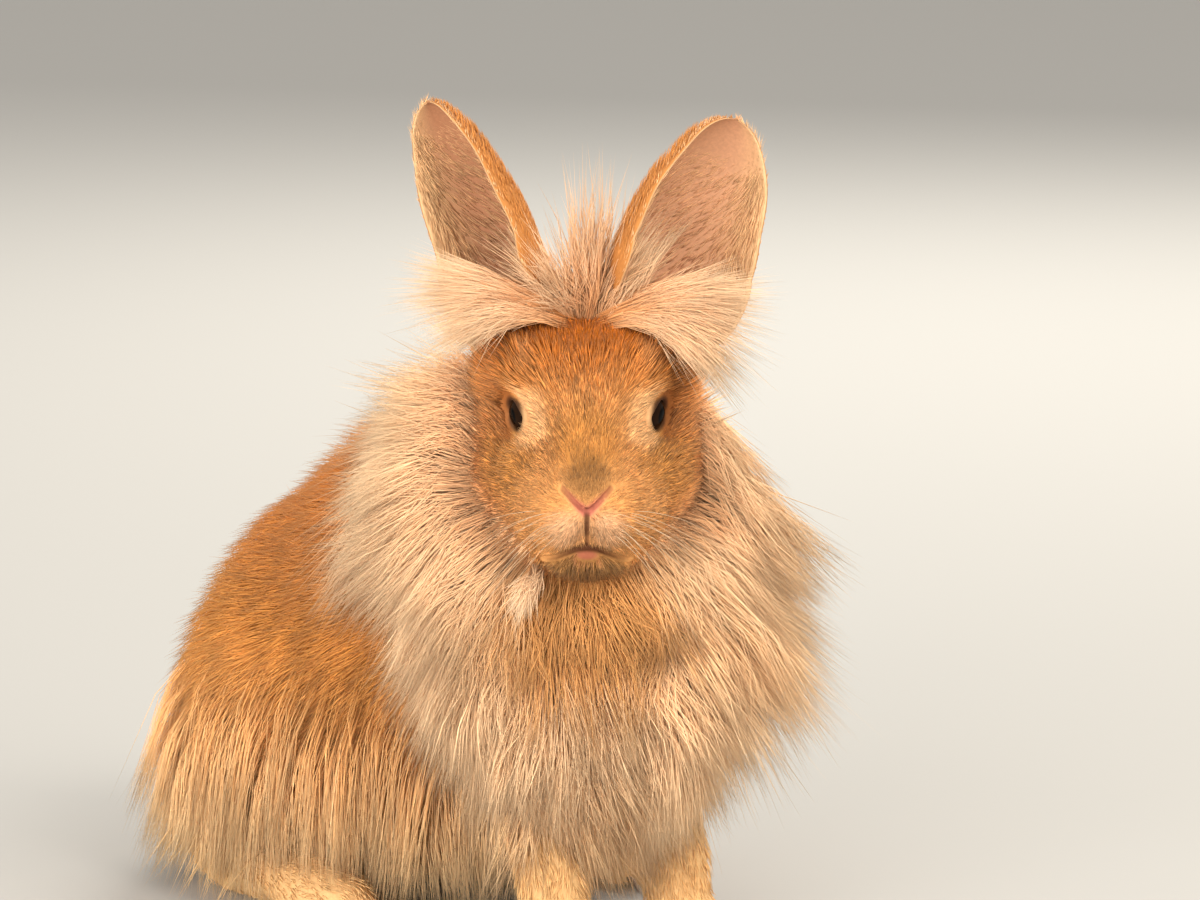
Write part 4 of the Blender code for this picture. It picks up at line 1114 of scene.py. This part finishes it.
def leg_length(roots):
    return np.interp(roots[:, 2], [0.0, 12.0, 40.0, 90.0], [3.0, 6.5, 8.0, 12.0])


def tail_flow(roots):
    return np.broadcast_to(np.array([0.0, 0.3, 1.0]), roots.shape)


def tail_length(roots):
    return np.full(len(roots), 18.0)


def push_clear(points, margin):
    """Points of long hair moved out of the head."""
    for _ in range(2):
        value = part_values(points)[:, 0]
        deep = value < margin
        if not deep.any():
            break
        slope = gradient(lambda p: head_mass(to_head(p)), points[deep], 1.0)
        points[deep] += times(unit(slope), margin - value[deep])
    return points


FACE_CENTRE = np.array([0.0, -10.0, -24.0])
MANE_SIDE = 84.0
# How far to the left long hair may reach, and how ragged its edge is there.
WIDEST = 97.5
RAGGED = 6.0


def long_hair(
    name, slot, roots, normals, bends, tips, spacing, clump, stray, width, root_colour, tip_colour, rings
):
    """Fine strands drawn together at their tips in locks, each lock and each bunch of locks straying its own
    way, pushed clear of the head."""
    guides, own = nearest_guides(roots, spacing)
    bunches, bunch = nearest_guides(guides, 7)
    drift = rng.normal(0, 0.6 * stray, guides.shape) + rng.normal(0, stray, bunches.shape)[bunch]
    lead = np.zeros(len(guides), int)
    led, first = np.unique(own, return_index=True)
    lead[led] = first
    drawn = clump * rng.uniform(0.5, 1.3, len(roots))[:, None]
    tips = tips + drawn * (tips[lead[own]] - tips)
    bends = bends + 0.4 * drawn * (bends[lead[own]] - bends) + 0.2 * drift[own]
    tips = push_clear(tips + drift[own] + rng.normal(0, 0.9 * stray, tips.shape), 2.5)
    bends = push_clear(bends, 2.0)
    tips[:, 0] = np.minimum(tips[:, 0], WIDEST - 0.1 * np.arange(len(tips)) % RAGGED)
    side = unit(np.cross(tips - roots, normals) + 1e-6)
    sway = 0.5 * stray * rng.normal(0, 1.0, len(guides))[own] + 0.2 * stray * rng.normal(0, 1.0, len(roots))
    shade = rng.normal(0, 0.08, len(guides))[own]
    vary = MIDDLE_SHADE + 0.8 * shade + rng.normal(0, 0.07, len(roots))
    thick = width * rng.uniform(0.7, 1.3, len(roots))
    uv = unwrapped(roots, roots.mean(0), (0.0, 0.0, 1.0))
    hair = roots - normals * 0.6, bends, tips, normals
    tufts(name, slot, LONG_COAT, *hair, thick, root_colour, tip_colour, uv, rings, vary, times(side, sway))


def mane_lie(roots, normals):
    """Bends and tips of the mane: it stands out round the face, and hangs down the chest and the nape."""
    q = to_head(roots)
    x, z = q[:, 0], q[:, 2]
    from_face = q - FACE_CENTRE
    radial = unit(from_face * np.array([1.0, 0.0, 1.0]))
    up = np.clip(radial[:, 2], 0.0, 1.0)
    radial = turn_from_head(radial)
    level = unit(normals * LEVEL)
    flow = laid(turn_from_head(from_face), normals)

    # How far each root lies in the mane's regions.
    ruff = 1.0 - smooth(np.linalg.norm(from_face, axis=1), 48.0, 80.0)
    nape = smooth(roots[:, 1], 26.0, 50.0) * smooth(roots[:, 2], 140.0, 170.0)
    low = smooth(-z, 62.0, 96.0)
    mid = smooth(-z, 15.0, 40.0) * (1.0 - smooth(-z, 64.0, 96.0))
    across = level @ TO_LEFT * (1.0 - nape) * (1.0 - ruff)
    right, beside = np.clip(-across, 0.0, 1.0), np.clip(across, 0.0, 1.0)
    left = beside * (1.0 - low)
    low_left = np.clip(level @ TO_LEFT, 0.0, 1.0) * low
    high_left = smooth(x, 8.0, 32.0) * smooth(z, -36.0, -12.0)
    crest = smooth(-x, 18.0, 40.0) * smooth(z, -44.0, -14.0)
    top_left = smooth(x, 4.0, 20.0) * smooth(z, -10.0, 8.0)
    top_right = smooth(-x, -4.0, 20.0) * smooth(z, 10.0, 26.0)

    rise = times(normals, 0.5 + 0.5 * ruff) + times(radial, 0.7 * ruff) + flow * 0.5
    rise = rise + times(DOWN, 0.55 * (1.0 - ruff) * (1.0 - nape))
    rise = unit(rise + normals * rng.normal(0, 0.12, (len(roots), 1)))
    rise = rise + times(level, 0.35 * beside + 0.3 * left + 0.1 * right)
    rise = rise + times(DOWN, 0.8 * high_left - 0.9 * crest)
    rise = unit(rise + times(TO_LEFT, 0.9 * left * mid))

    lie = times(flow, 0.5 + 0.8 * nape) + times(radial, 0.55 * ruff)
    lie = lie + times(level, 0.6 * beside + 0.5 * left + 0.15 * right) + times(DOWN, 0.7 * high_left)
    lie = lie + times(TO_LEFT, 1.1 * left * mid) + times(DOWN, 0.85 - 0.3 * up * ruff - 0.5 * crest)
    lie = unit(lie + rng.normal(0, 0.16, roots.shape))
    lie = unit(lie + times(np.cross(normals, lie), 0.45 * wave(roots, 24.0, 5) + 0.3 * wave(roots, 9.0, 6)))

    length = 50.0 - 16.0 * up * ruff - 6.0 * nape + 8.0 * beside + (8.0 + 10.0 * mid) * left
    length = (length - 5.0 * right - 12.0 * high_left) * rng.uniform(0.72, 1.12, len(roots))
    length *= 1.0 - 0.65 * np.maximum(top_left, top_right)
    length *= (1.0 - 0.45 * under_chin(q)) * (1.0 - 0.25 * low_left)
    bends = roots + times(rise, 0.42 * length)
    tips = bends + times(lie, 0.62 * length)
    tips[:, 0] -= 0.8 * np.maximum(tips[:, 0] - MANE_SIDE, 0.0)
    return bends, tips


def build_mane(skin):
    """Three pieces of woolly hair, the last with more rings along each strand."""
    weights = part_weight(skin, "neck") * (skin.shares[:, 0] < 0.7)
    layers = ((12500, RINGS_SHORT), (12500, RINGS_SHORT), (9500, RINGS_LONG))
    for index, (count, rings) in enumerate(layers):
        roots, normals = skin.roots(weights, count)
        hair = roots, normals, *mane_lie(roots, normals)
        colour = marking_and_shade(roots)
        cream = mix(colour, MANE_CREAM, 0.85 - 0.7 * orange_share(to_head(roots)))
        long_hair(f"mane_{index + 1}", "mane_coat", *hair, 40, 0.6, 3.4, 0.36, colour, cream, rings)


def build_skirts(skin):
    """Long pale hair that hangs from the haunches and the belly's edge over the hind feet."""
    height = skin.middles[:, 2]
    weights = part_weight(skin, "trunk") * smooth(height, 24.0, 36.0) * (1.0 - smooth(height, 48.0, 112.0))
    weights = weights * smooth(skin.middles[:, 1], 20.0, 40.0)
    roots, normals = skin.roots(weights, 7500)
    level = unit(normals * LEVEL)
    length = (22.0 + 0.5 * roots[:, 2]) * rng.uniform(0.7, 1.15, len(roots))
    bends = roots + times(unit(normals * 0.35 + level * 0.3 + DOWN * 0.6), 0.4 * length)
    tips = bends + times(unit(DOWN + level * 0.12 + rng.normal(0, 0.08, roots.shape)), 0.62 * length)
    colour = marking_and_shade(roots)
    pale = mix(colour, SKIRT_PALE, rng.uniform(0.4, 1.0, len(roots)))
    hair = roots, normals, bends, tips
    long_hair("skirts", "body_coat", *hair, 40, 0.6, 2.2, 0.38, colour, pale, RINGS_SHORT)


# Where the wings' hairs end, aside and in height, from the rearmost roots to the foremost.
RIGHT_WING = [(58, 57), (66, 50), (67, 41), (62, 30), (54, 18), (45, 22)]
LEFT_WING = [(53, 51), (62, 40), (64, 26), (60, 8), (52, 5), (44, 16)]


def crown_point(across, back):
    """The skin's height over places of the crown, in the head's frame."""
    heights = np.arange(60.0, 0.0, -0.5)
    columns = np.repeat(across, len(heights)), np.repeat(back, len(heights)), np.tile(heights, len(across))
    inside = (plain_head(np.stack(columns, axis=1)) < 0).reshape(len(across), -1)
    return np.stack([across, back, heights[inside.argmax(axis=1)]], axis=1)


def wing_hair(side, wing, count):
    """Roots, bends and tips of a wing of the forelock, in the head's frame."""
    share = rng.random(count)
    outline = np.array(wing, float)
    spread = np.stack([np.interp(share * 5, range(6), outline[:, i]) for i in range(2)], axis=1)
    across = side * (0.5 + 6 * share) + rng.normal(0, 1.6, count)
    root = crown_point(across, 9 - 7 * share + rng.normal(0, 1.8, count))
    goal = np.stack([side * spread[:, 0], -6 - 8 * share + rng.normal(0, 4.0, count), spread[:, 1]], axis=1)
    bend = 0.5 * (root + goal)
    bend[:, 1] -= 4.0
    bend[:, 2] = root[:, 2] + 13.0 + 0.14 * (goal[:, 2] - 36.0) + rng.normal(0, 1.6, count)
    reach = rng.uniform(0.55, 1.06, count)[:, None]
    tip = (1 - reach) ** 2 * root + 2 * reach * (1 - reach) * bend + reach**2 * goal
    return root, root + reach * (bend - root), tip + rng.normal(0, 1.2, tip.shape)


def standing_hair(count):
    """Roots, bends and tips of the tuft that stands between the wings, in the head's frame."""
    share, ones = rng.uniform(-1, 1, count), np.ones(count)
    root = crown_point(9 * share + rng.normal(0, 2, count), rng.uniform(2, 13, count))
    length = (60 - 18 * np.abs(share)) * (0.3 + 0.8 * rng.random(count) ** 2.2)
    rise = unit(np.stack([0.7 * share, rng.normal(0.0, 0.16, count), ones], axis=1))
    lie = [1.4 * share + rng.normal(0, 0.2, count), rng.normal(-0.05, 0.25, count), ones]
    lie = unit(np.stack(lie, axis=1))
    bend = root + times(rise, 0.5 * length)
    return root, bend, bend + times(lie, 0.5 * length)


def build_forelock():
    """A wing of hair to each side of the parting, hanging before the ears, and a tuft that stands up."""
    forms = {
        "forelock_right": wing_hair(-1, RIGHT_WING, 2600),
        "forelock_left": wing_hair(1, LEFT_WING, 2600),
        "forelock_middle": standing_hair(1500),
        "chin_tuft": chin_tuft(260),
    }
    for name, form in forms.items():
        roots, bends, tips = (from_head(points) for points in form)
        normals = np.broadcast_to(turn_from_head(np.array([0.0, -0.7, 0.7])), roots.shape)
        away = np.abs(to_head(roots)[:, 0]) / 12.0
        middle = name == "forelock_middle"
        colour = mix(PARTING[None], FORELOCK[None], np.minimum(away + 0.35 * middle, 1.0))
        pale = np.broadcast_to(TUFT_TIP if middle else FORELOCK_TIP, roots.shape)
        hair = roots, normals, bends, tips
        long_hair(name, "head_coat", *hair, 26, 0.6, 2.6 if middle else 2.9, 0.3, colour, pale, RINGS_LONG)


def chin_tuft(count):
    """Roots, bends and tips of the small loose tuft beside the chin, in the head's frame."""
    root = np.array([-16.5, -22.0, -50.0]) + rng.normal(0, 1.0, (count, 3))
    half = 0.5 * rng.uniform(8.0, 14.0, count)
    bend = root + times(unit(np.array([-0.25, -0.55, -0.8]) + rng.normal(0, 0.1, root.shape)), half)
    return root, bend, bend + times(unit(np.array([0.1, -0.2, -1.0]) + rng.normal(0, 0.1, root.shape)), half)


def build_ear_coat(name, ear):
    """Short fur on both faces of an ear, longer along its rim."""
    count = EAR_TUFTS
    share = rng.uniform(-1, 1, count)
    t = rng.uniform(0.02, 0.995, count) ** 0.85
    outer = rng.random(count) < 0.5
    sign = np.where(outer, 1.0, -1.0)
    half = 0.5 * EAR_THICK
    root = ear_point(ear, t, share, sign * (half - 0.3))
    lifted = ear_point(ear, t, share, sign * (half + 1.0))
    ahead = ear_point(ear, np.minimum(t + 0.03, 1.0), share, sign * (half - 0.3))
    normals = unit(lifted - root)
    flow = unit(laid(ahead - root, normals) + rng.normal(0, 0.12, root.shape))
    side, _, _, opens, across = ear_frame(ear)
    edge = smooth(np.abs(share), 0.9, 1.0)
    cup = np.where(outer, 0.0, 1.0 - edge)
    fringe = np.where(outer, 0.0, smooth(np.abs(share), 0.45, 0.85)) * (1.0 - 0.4 * t)
    base = 1.0 - smooth(t, 0.15, 0.45)
    length = (4.0 - 2.0 * edge + 2.5 * cup + 5.0 * fringe + 4.0 * base) * rng.uniform(0.7, 1.2, count)
    length = length * (1.0 - 0.45 * smooth(t, 0.85, 1.0))
    outward = unit(across[None] * np.sign(share)[:, None] + opens[None] * 0.4)
    flow = flow + times(outward, 0.1 * edge) + times(across, side * 0.8 * cup)
    flow = unit(laid(flow, normals))
    rise = unit(flow + times(normals, 0.16 + 0.3 * cup + 0.15 * fringe + 0.15 * base))
    bends = root + times(rise, 0.5 * length)
    tips = bends + times(unit(flow + normals * 0.1), 0.5 * length)
    colour = np.where(outer[:, None], EAR_BACK, ear_inside(ear, t, share))
    colour = mix(colour, EAR_FRINGE, np.minimum(cup * rng.uniform(0.1, 0.9, count) + fringe, 1.0))
    colour = mix(colour, EAR_RIM, np.maximum(0.8 * smooth(np.abs(share), 0.92, 1.0), 0.6 * fringe))
    colour = mix(colour, FORELOCK, 0.6 * base)
    uv = np.stack([0.25 + 0.22 * share + np.where(outer, 0.0, 0.5), 0.01 + 0.98 * t], axis=1)
    vary = 0.76 + rng.normal(0, 0.09, count)
    thick = np.where(outer, 0.34, 0.27) * rng.uniform(0.7, 1.3, count)
    hair = from_head(root), from_head(bends), from_head(tips), turn_from_head(normals)
    # Tips paler towards TIP_WARM: partly the hair's own colour and partly painted light through the thin
    # tips.
    tufts(name, "ear_coat", COAT, *hair, thick, colour, mix(colour, TIP_WARM, 0.10), uv, RINGS_SHORT, vary)


def build_skin(skin):
    """The skin and both ears as one mesh."""
    # Painted shade under the coat: the skin's colour darkened to 0.92 of the coat's colour, the backs of the
    # ears to 0.8 and their insides to 0.95.
    points, quads, shades = [skin.points], [skin.quads], [marking_and_shade(skin.points) * 0.92]
    start = len(skin.points)
    rows, columns = ear_grid()
    for ear in (RIGHT_EAR, LEFT_EAR):
        sheet, faces = ear_sheet(ear)
        points.append(sheet)
        quads.append(faces + start)
        back = np.broadcast_to(EAR_BACK * 0.8, (len(rows), 3))
        shades.append(np.concatenate([back, ear_inside(ear, rows, columns) * 0.95]))
        start += len(sheet)
    built = new_object("skin", np.concatenate(points), np.concatenate(quads), np.concatenate(shades))
    finish_piece(built, skin_material())
    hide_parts(*[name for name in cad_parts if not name.startswith("eye")])


# Eyes, claws and whiskers.


def ball_mesh(centre, radius, axes, rings=24, columns=48):
    """A ball whose poles lie along its last axis."""
    points = [centre + axes[:, 2] * radius]
    for ring in range(1, rings):
        down = math.pi * ring / rings
        for column in range(columns):
            turn = 2 * math.pi * column / columns
            out = math.sin(down)
            way = np.array([out * math.cos(turn), out * math.sin(turn), math.cos(down)])
            points.append(centre + axes @ way * radius)
    points.append(centre - axes[:, 2] * radius)
    last = len(points) - 1
    faces = [face[::-1] for face in ring_faces(rings - 1, columns, 1)]
    for column in range(columns):
        after = (column + 1) % columns
        faces.append((0, 1 + column, 1 + after))
        faces.append((last, last - columns + after, last - columns + column))
    return np.array(points), np.array(faces)


def eye_material():
    """A dark brown iris round a black pupil, under a wet gloss."""
    material = new_material("eye", {"Roughness": 0.06, "IOR": 1.1})
    ramp = add_node(material, "ValToRGB", {"Fac": point_value(material, "from_gaze", "Fac")})
    stops = ramp.color_ramp.elements
    stops.new(0.9)
    colours = ((0.36, 0.002, 0.002, 0.002), (0.44, 0.016, 0.007, 0.003), (0.9, 0.012, 0.006, 0.004))
    for stop, (position, *colour) in zip(stops, colours):
        stop.position = position
        stop.color = (*colour, 1.0)
    set_shader(material, {"Base Color": ramp.outputs["Color"]})
    return material


def build_eyes():
    material = eye_material()
    for word, side in (("right", -1), ("left", 1)):
        axes = eye_axes(side)
        points, faces = ball_mesh(eye_centre(side), EYE_RADIUS, axes)
        away = np.arccos(np.clip((points - eye_centre(side)) @ axes[:, 2] / EYE_RADIUS, -1, 1))
        built = new_object("eyeball_" + word, from_head(points), faces, floats={"from_gaze": away})
        finish_piece(built, material)
        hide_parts("eye_" + word)


def tapered_tube(route, radii, sides=8):
    """A closed tube through a few points."""
    route = np.array(route, float)
    ways = unit(np.gradient(route, axis=0))
    first = unit(np.cross(ways, [0.13, 0.2, 0.97]))
    second = np.cross(ways, first)
    angles = np.arange(sides) * 2 * math.pi / sides
    rings = [
        place + radius * (np.cos(angles)[:, None] * a + np.sin(angles)[:, None] * b)
        for place, radius, a, b in zip(route, radii, first, second)
    ]
    points = np.concatenate([*rings, route[:1], route[-1:]])
    faces = ring_faces(len(route), sides)
    low, high = len(points) - 2, len(points) - 1
    last = (len(route) - 1) * sides
    for side in range(sides):
        after = (side + 1) % sides
        faces += [(low, after, side), (high, last + side, last + after)]
    return points, np.array(faces)


def joined_tubes(name, tubes, material):
    start, points, faces = 0, [], []
    for spots, sides in tubes:
        points.append(spots)
        faces.append(sides + start)
        start += len(spots)
    finish_piece(new_object(name, np.concatenate(points), np.concatenate(faces)), material)


# How far out and how high a claw's points lie, and its radius at each.
CLAW_CURVE = [(0.0, 5.6), (2.8, 5.0), (5.0, 3.4), (6.2, 1.6)]
CLAW_RADII = [1.1, 1.0, 0.7, 0.15]
WHISKER_RADIUS = 0.075


def build_claws():
    material = new_material("claw", {"Roughness": 0.35, "Base Color": (0.16, 0.10, 0.07, 1.0)})
    tubes = []
    for side in (-1, 1):
        for (x, y, _), toes, sunk in ((FOREPAW, FORE_TOES, 6.0), (HINDPAW, HIND_TOES, 9.0)):
            for across, ahead in toes:
                aside, front = side * (x + across), y - ahead - sunk
                route = [(aside, front - out, height) for out, height in CLAW_CURVE]
                tubes.append(tapered_tube(route, CLAW_RADII))
    joined_tubes("claws", tubes, material)


def build_whiskers():
    material = new_material("whisker", {"Roughness": 0.4, "Base Color": (0.62, 0.46, 0.30, 1.0)})
    tubes = []
    for side in (-1, 1):
        for row in range(3):
            for column in range(4):
                x, z = side * (7.5 + 2.4 * column), -27.0 - 3.2 * row
                root = face_point(x, z, 0.5)
                length = 33.0 + 3.5 * column + rng.normal(0, 4)
                sway = rng.normal(0, 0.1, 2)
                way = unit(np.array([side, -0.3 + 0.2 * column + sway[0], -0.15 - 0.3 * row + sway[1]]))
                shares = np.linspace(0, 1, 8)[:, None]
                drop = np.array([side * -0.1, 0.32, -0.4]) * length
                route = root + way * length * shares + drop * shares**2
                radii = WHISKER_RADIUS * (1.0 - 0.7 * shares[:, 0])
                tubes.append(tapered_tube(from_head(route), radii, sides=5))
    joined_tubes("whiskers", tubes, material)


# Stage: floor, light and camera.

CAMERA_AZIMUTH = math.radians(-36.0)
CAMERA_ELEVATION = math.radians(10.0)
CAMERA_DISTANCE = 2.0
SENSOR = 36.0
FRAMED_WIDTH = 408.0
FLOOR_HALF = 40.0
# Each light: its place along the camera's back, right and up axes in metres, its size, power and colour.
LIGHTS = {
    "key": ((1.4, 1.25, 1.2), 1.4, 38.0, (1.0, 0.95, 0.86)),
    "fill": ((1.5, -1.6, 0.5), 1.6, 15.0, (1.0, 0.96, 0.9)),
    "low": ((1.65, -0.7, -0.05), 1.2, 39.0, (1.0, 0.96, 0.9)),
    "rim": ((-1.4, 0.4, 1.5), 1.0, 26.0, (1.0, 0.96, 0.88)),
}
LIT_SPOT = (0.0, 0.0, 0.15)


def camera_axes():
    a, e = CAMERA_AZIMUTH, CAMERA_ELEVATION
    back = np.array([math.sin(a) * math.cos(e), -math.cos(a) * math.cos(e), math.sin(e)])
    right = np.array([math.cos(a), math.sin(a), 0.0])
    return back, right, np.cross(back, right)


def place_looking(built, place, target):
    built.location = place
    built.rotation_euler = (Vector(target) - Vector(place)).to_track_quat("-Z", "Y").to_euler()


def build_camera():
    back, right, up = camera_axes()
    target = (HEAD_PLACE + SHIFT + 4.4 * right - 12.9 * up) * METRES
    camera = bpy.data.cameras.new("camera")
    camera.sensor_width = SENSOR
    camera.lens = SENSOR * CAMERA_DISTANCE / (FRAMED_WIDTH * METRES)
    built = bpy.data.objects.new("camera", camera)
    bpy.context.scene.collection.objects.link(built)
    place_looking(built, tuple(target + back * CAMERA_DISTANCE), tuple(target))
    bpy.context.scene.camera = built


def build_light(name, place, size, power, colour):
    light = bpy.data.lights.new(name, "AREA")
    light.size = size
    light.energy = power
    light.color = colour
    built = bpy.data.objects.new(name, light)
    bpy.context.scene.collection.objects.link(built)
    place_looking(built, place, LIT_SPOT)


def build_stage():
    corners = FLOOR_HALF * np.array([[-1, -1, 0], [1, -1, 0], [1, 1, 0], [-1, 1, 0]]) / METRES - SHIFT
    floor = new_object("floor", corners, np.array([[0, 1, 2, 3]]))
    grey = new_material("floor", {"Roughness": 0.9, "Base Color": (0.44, 0.43, 0.41, 1.0)})
    floor.data.materials.append(grey)
    world = bpy.data.worlds.new("world")
    bpy.context.scene.world = world
    world.use_nodes = True
    background = world.node_tree.nodes["Background"]
    background.inputs["Color"].default_value = (1.0, 0.96, 0.9, 1.0)
    background.inputs["Strength"].default_value = 0.8
    for name, (place, *light) in LIGHTS.items():
        build_light(name, tuple(np.array(place) @ np.array(camera_axes())), *light)
    bpy.context.scene.view_settings.view_transform = "Standard"


def build_short_coats(skin):
    """The short fur, piece by piece."""
    middles = to_head(skin.middles)
    face = part_weight(skin, "head") * (0.35 + 0.65 * smooth(-middles[:, 1], -40.0, 0.0))
    face = face * (1.0 + 1.2 * near(middles, (0, -40, -34), 10.0, 24.0))
    trunk = part_weight(skin, "trunk")
    forelegs = part_weight(skin, "foreleg_left", "foreleg_right")
    feet = part_weight(skin, "hindfoot_left", "hindfoot_right")
    tail = part_weight(skin, "tail")
    # How the hair lies, how long, wide and lifted it is, how clumped, and how many tufts share a clump.
    on_head = head_flow, head_length, 0.36, head_lift, 0.3, 6, off_the_eyes, 0.28
    on_trunk = trunk_flow, trunk_length, 0.4, trunk_lift, 0.2, 14
    on_legs = leg_length, 0.5, math.radians(20), 0.35, 6
    on_tail = tail_flow, tail_length, 0.5, math.radians(36), 0.5, 12
    for index in (1, 2):
        short_coat(f"head_fur_{index}", "head_coat", skin, face, 16000, *on_head)
    for index in (1, 2, 3):
        short_coat(f"body_fur_{index}", "body_coat", skin, trunk, 12000, *on_trunk)
    short_coat("foreleg_fur", "leg_coat", skin, forelegs, 5500, foreleg_flow, *on_legs)
    short_coat("hindfoot_fur", "leg_coat", skin, feet, 4500, hindfoot_flow, *on_legs)
    short_coat("tail_fur", "tail_coat", skin, tail, 3500, *on_tail)


def main():
    skin = Skin()
    build_skin(skin)
    build_eyes()
    build_short_coats(skin)
    build_mane(skin)
    build_skirts(skin)
    build_forelock()
    build_ear_coat("ear_fur_right", RIGHT_EAR)
    build_ear_coat("ear_fur_left", LEFT_EAR)
    build_claws()
    build_whiskers()
    build_stage()
    build_camera()


main()
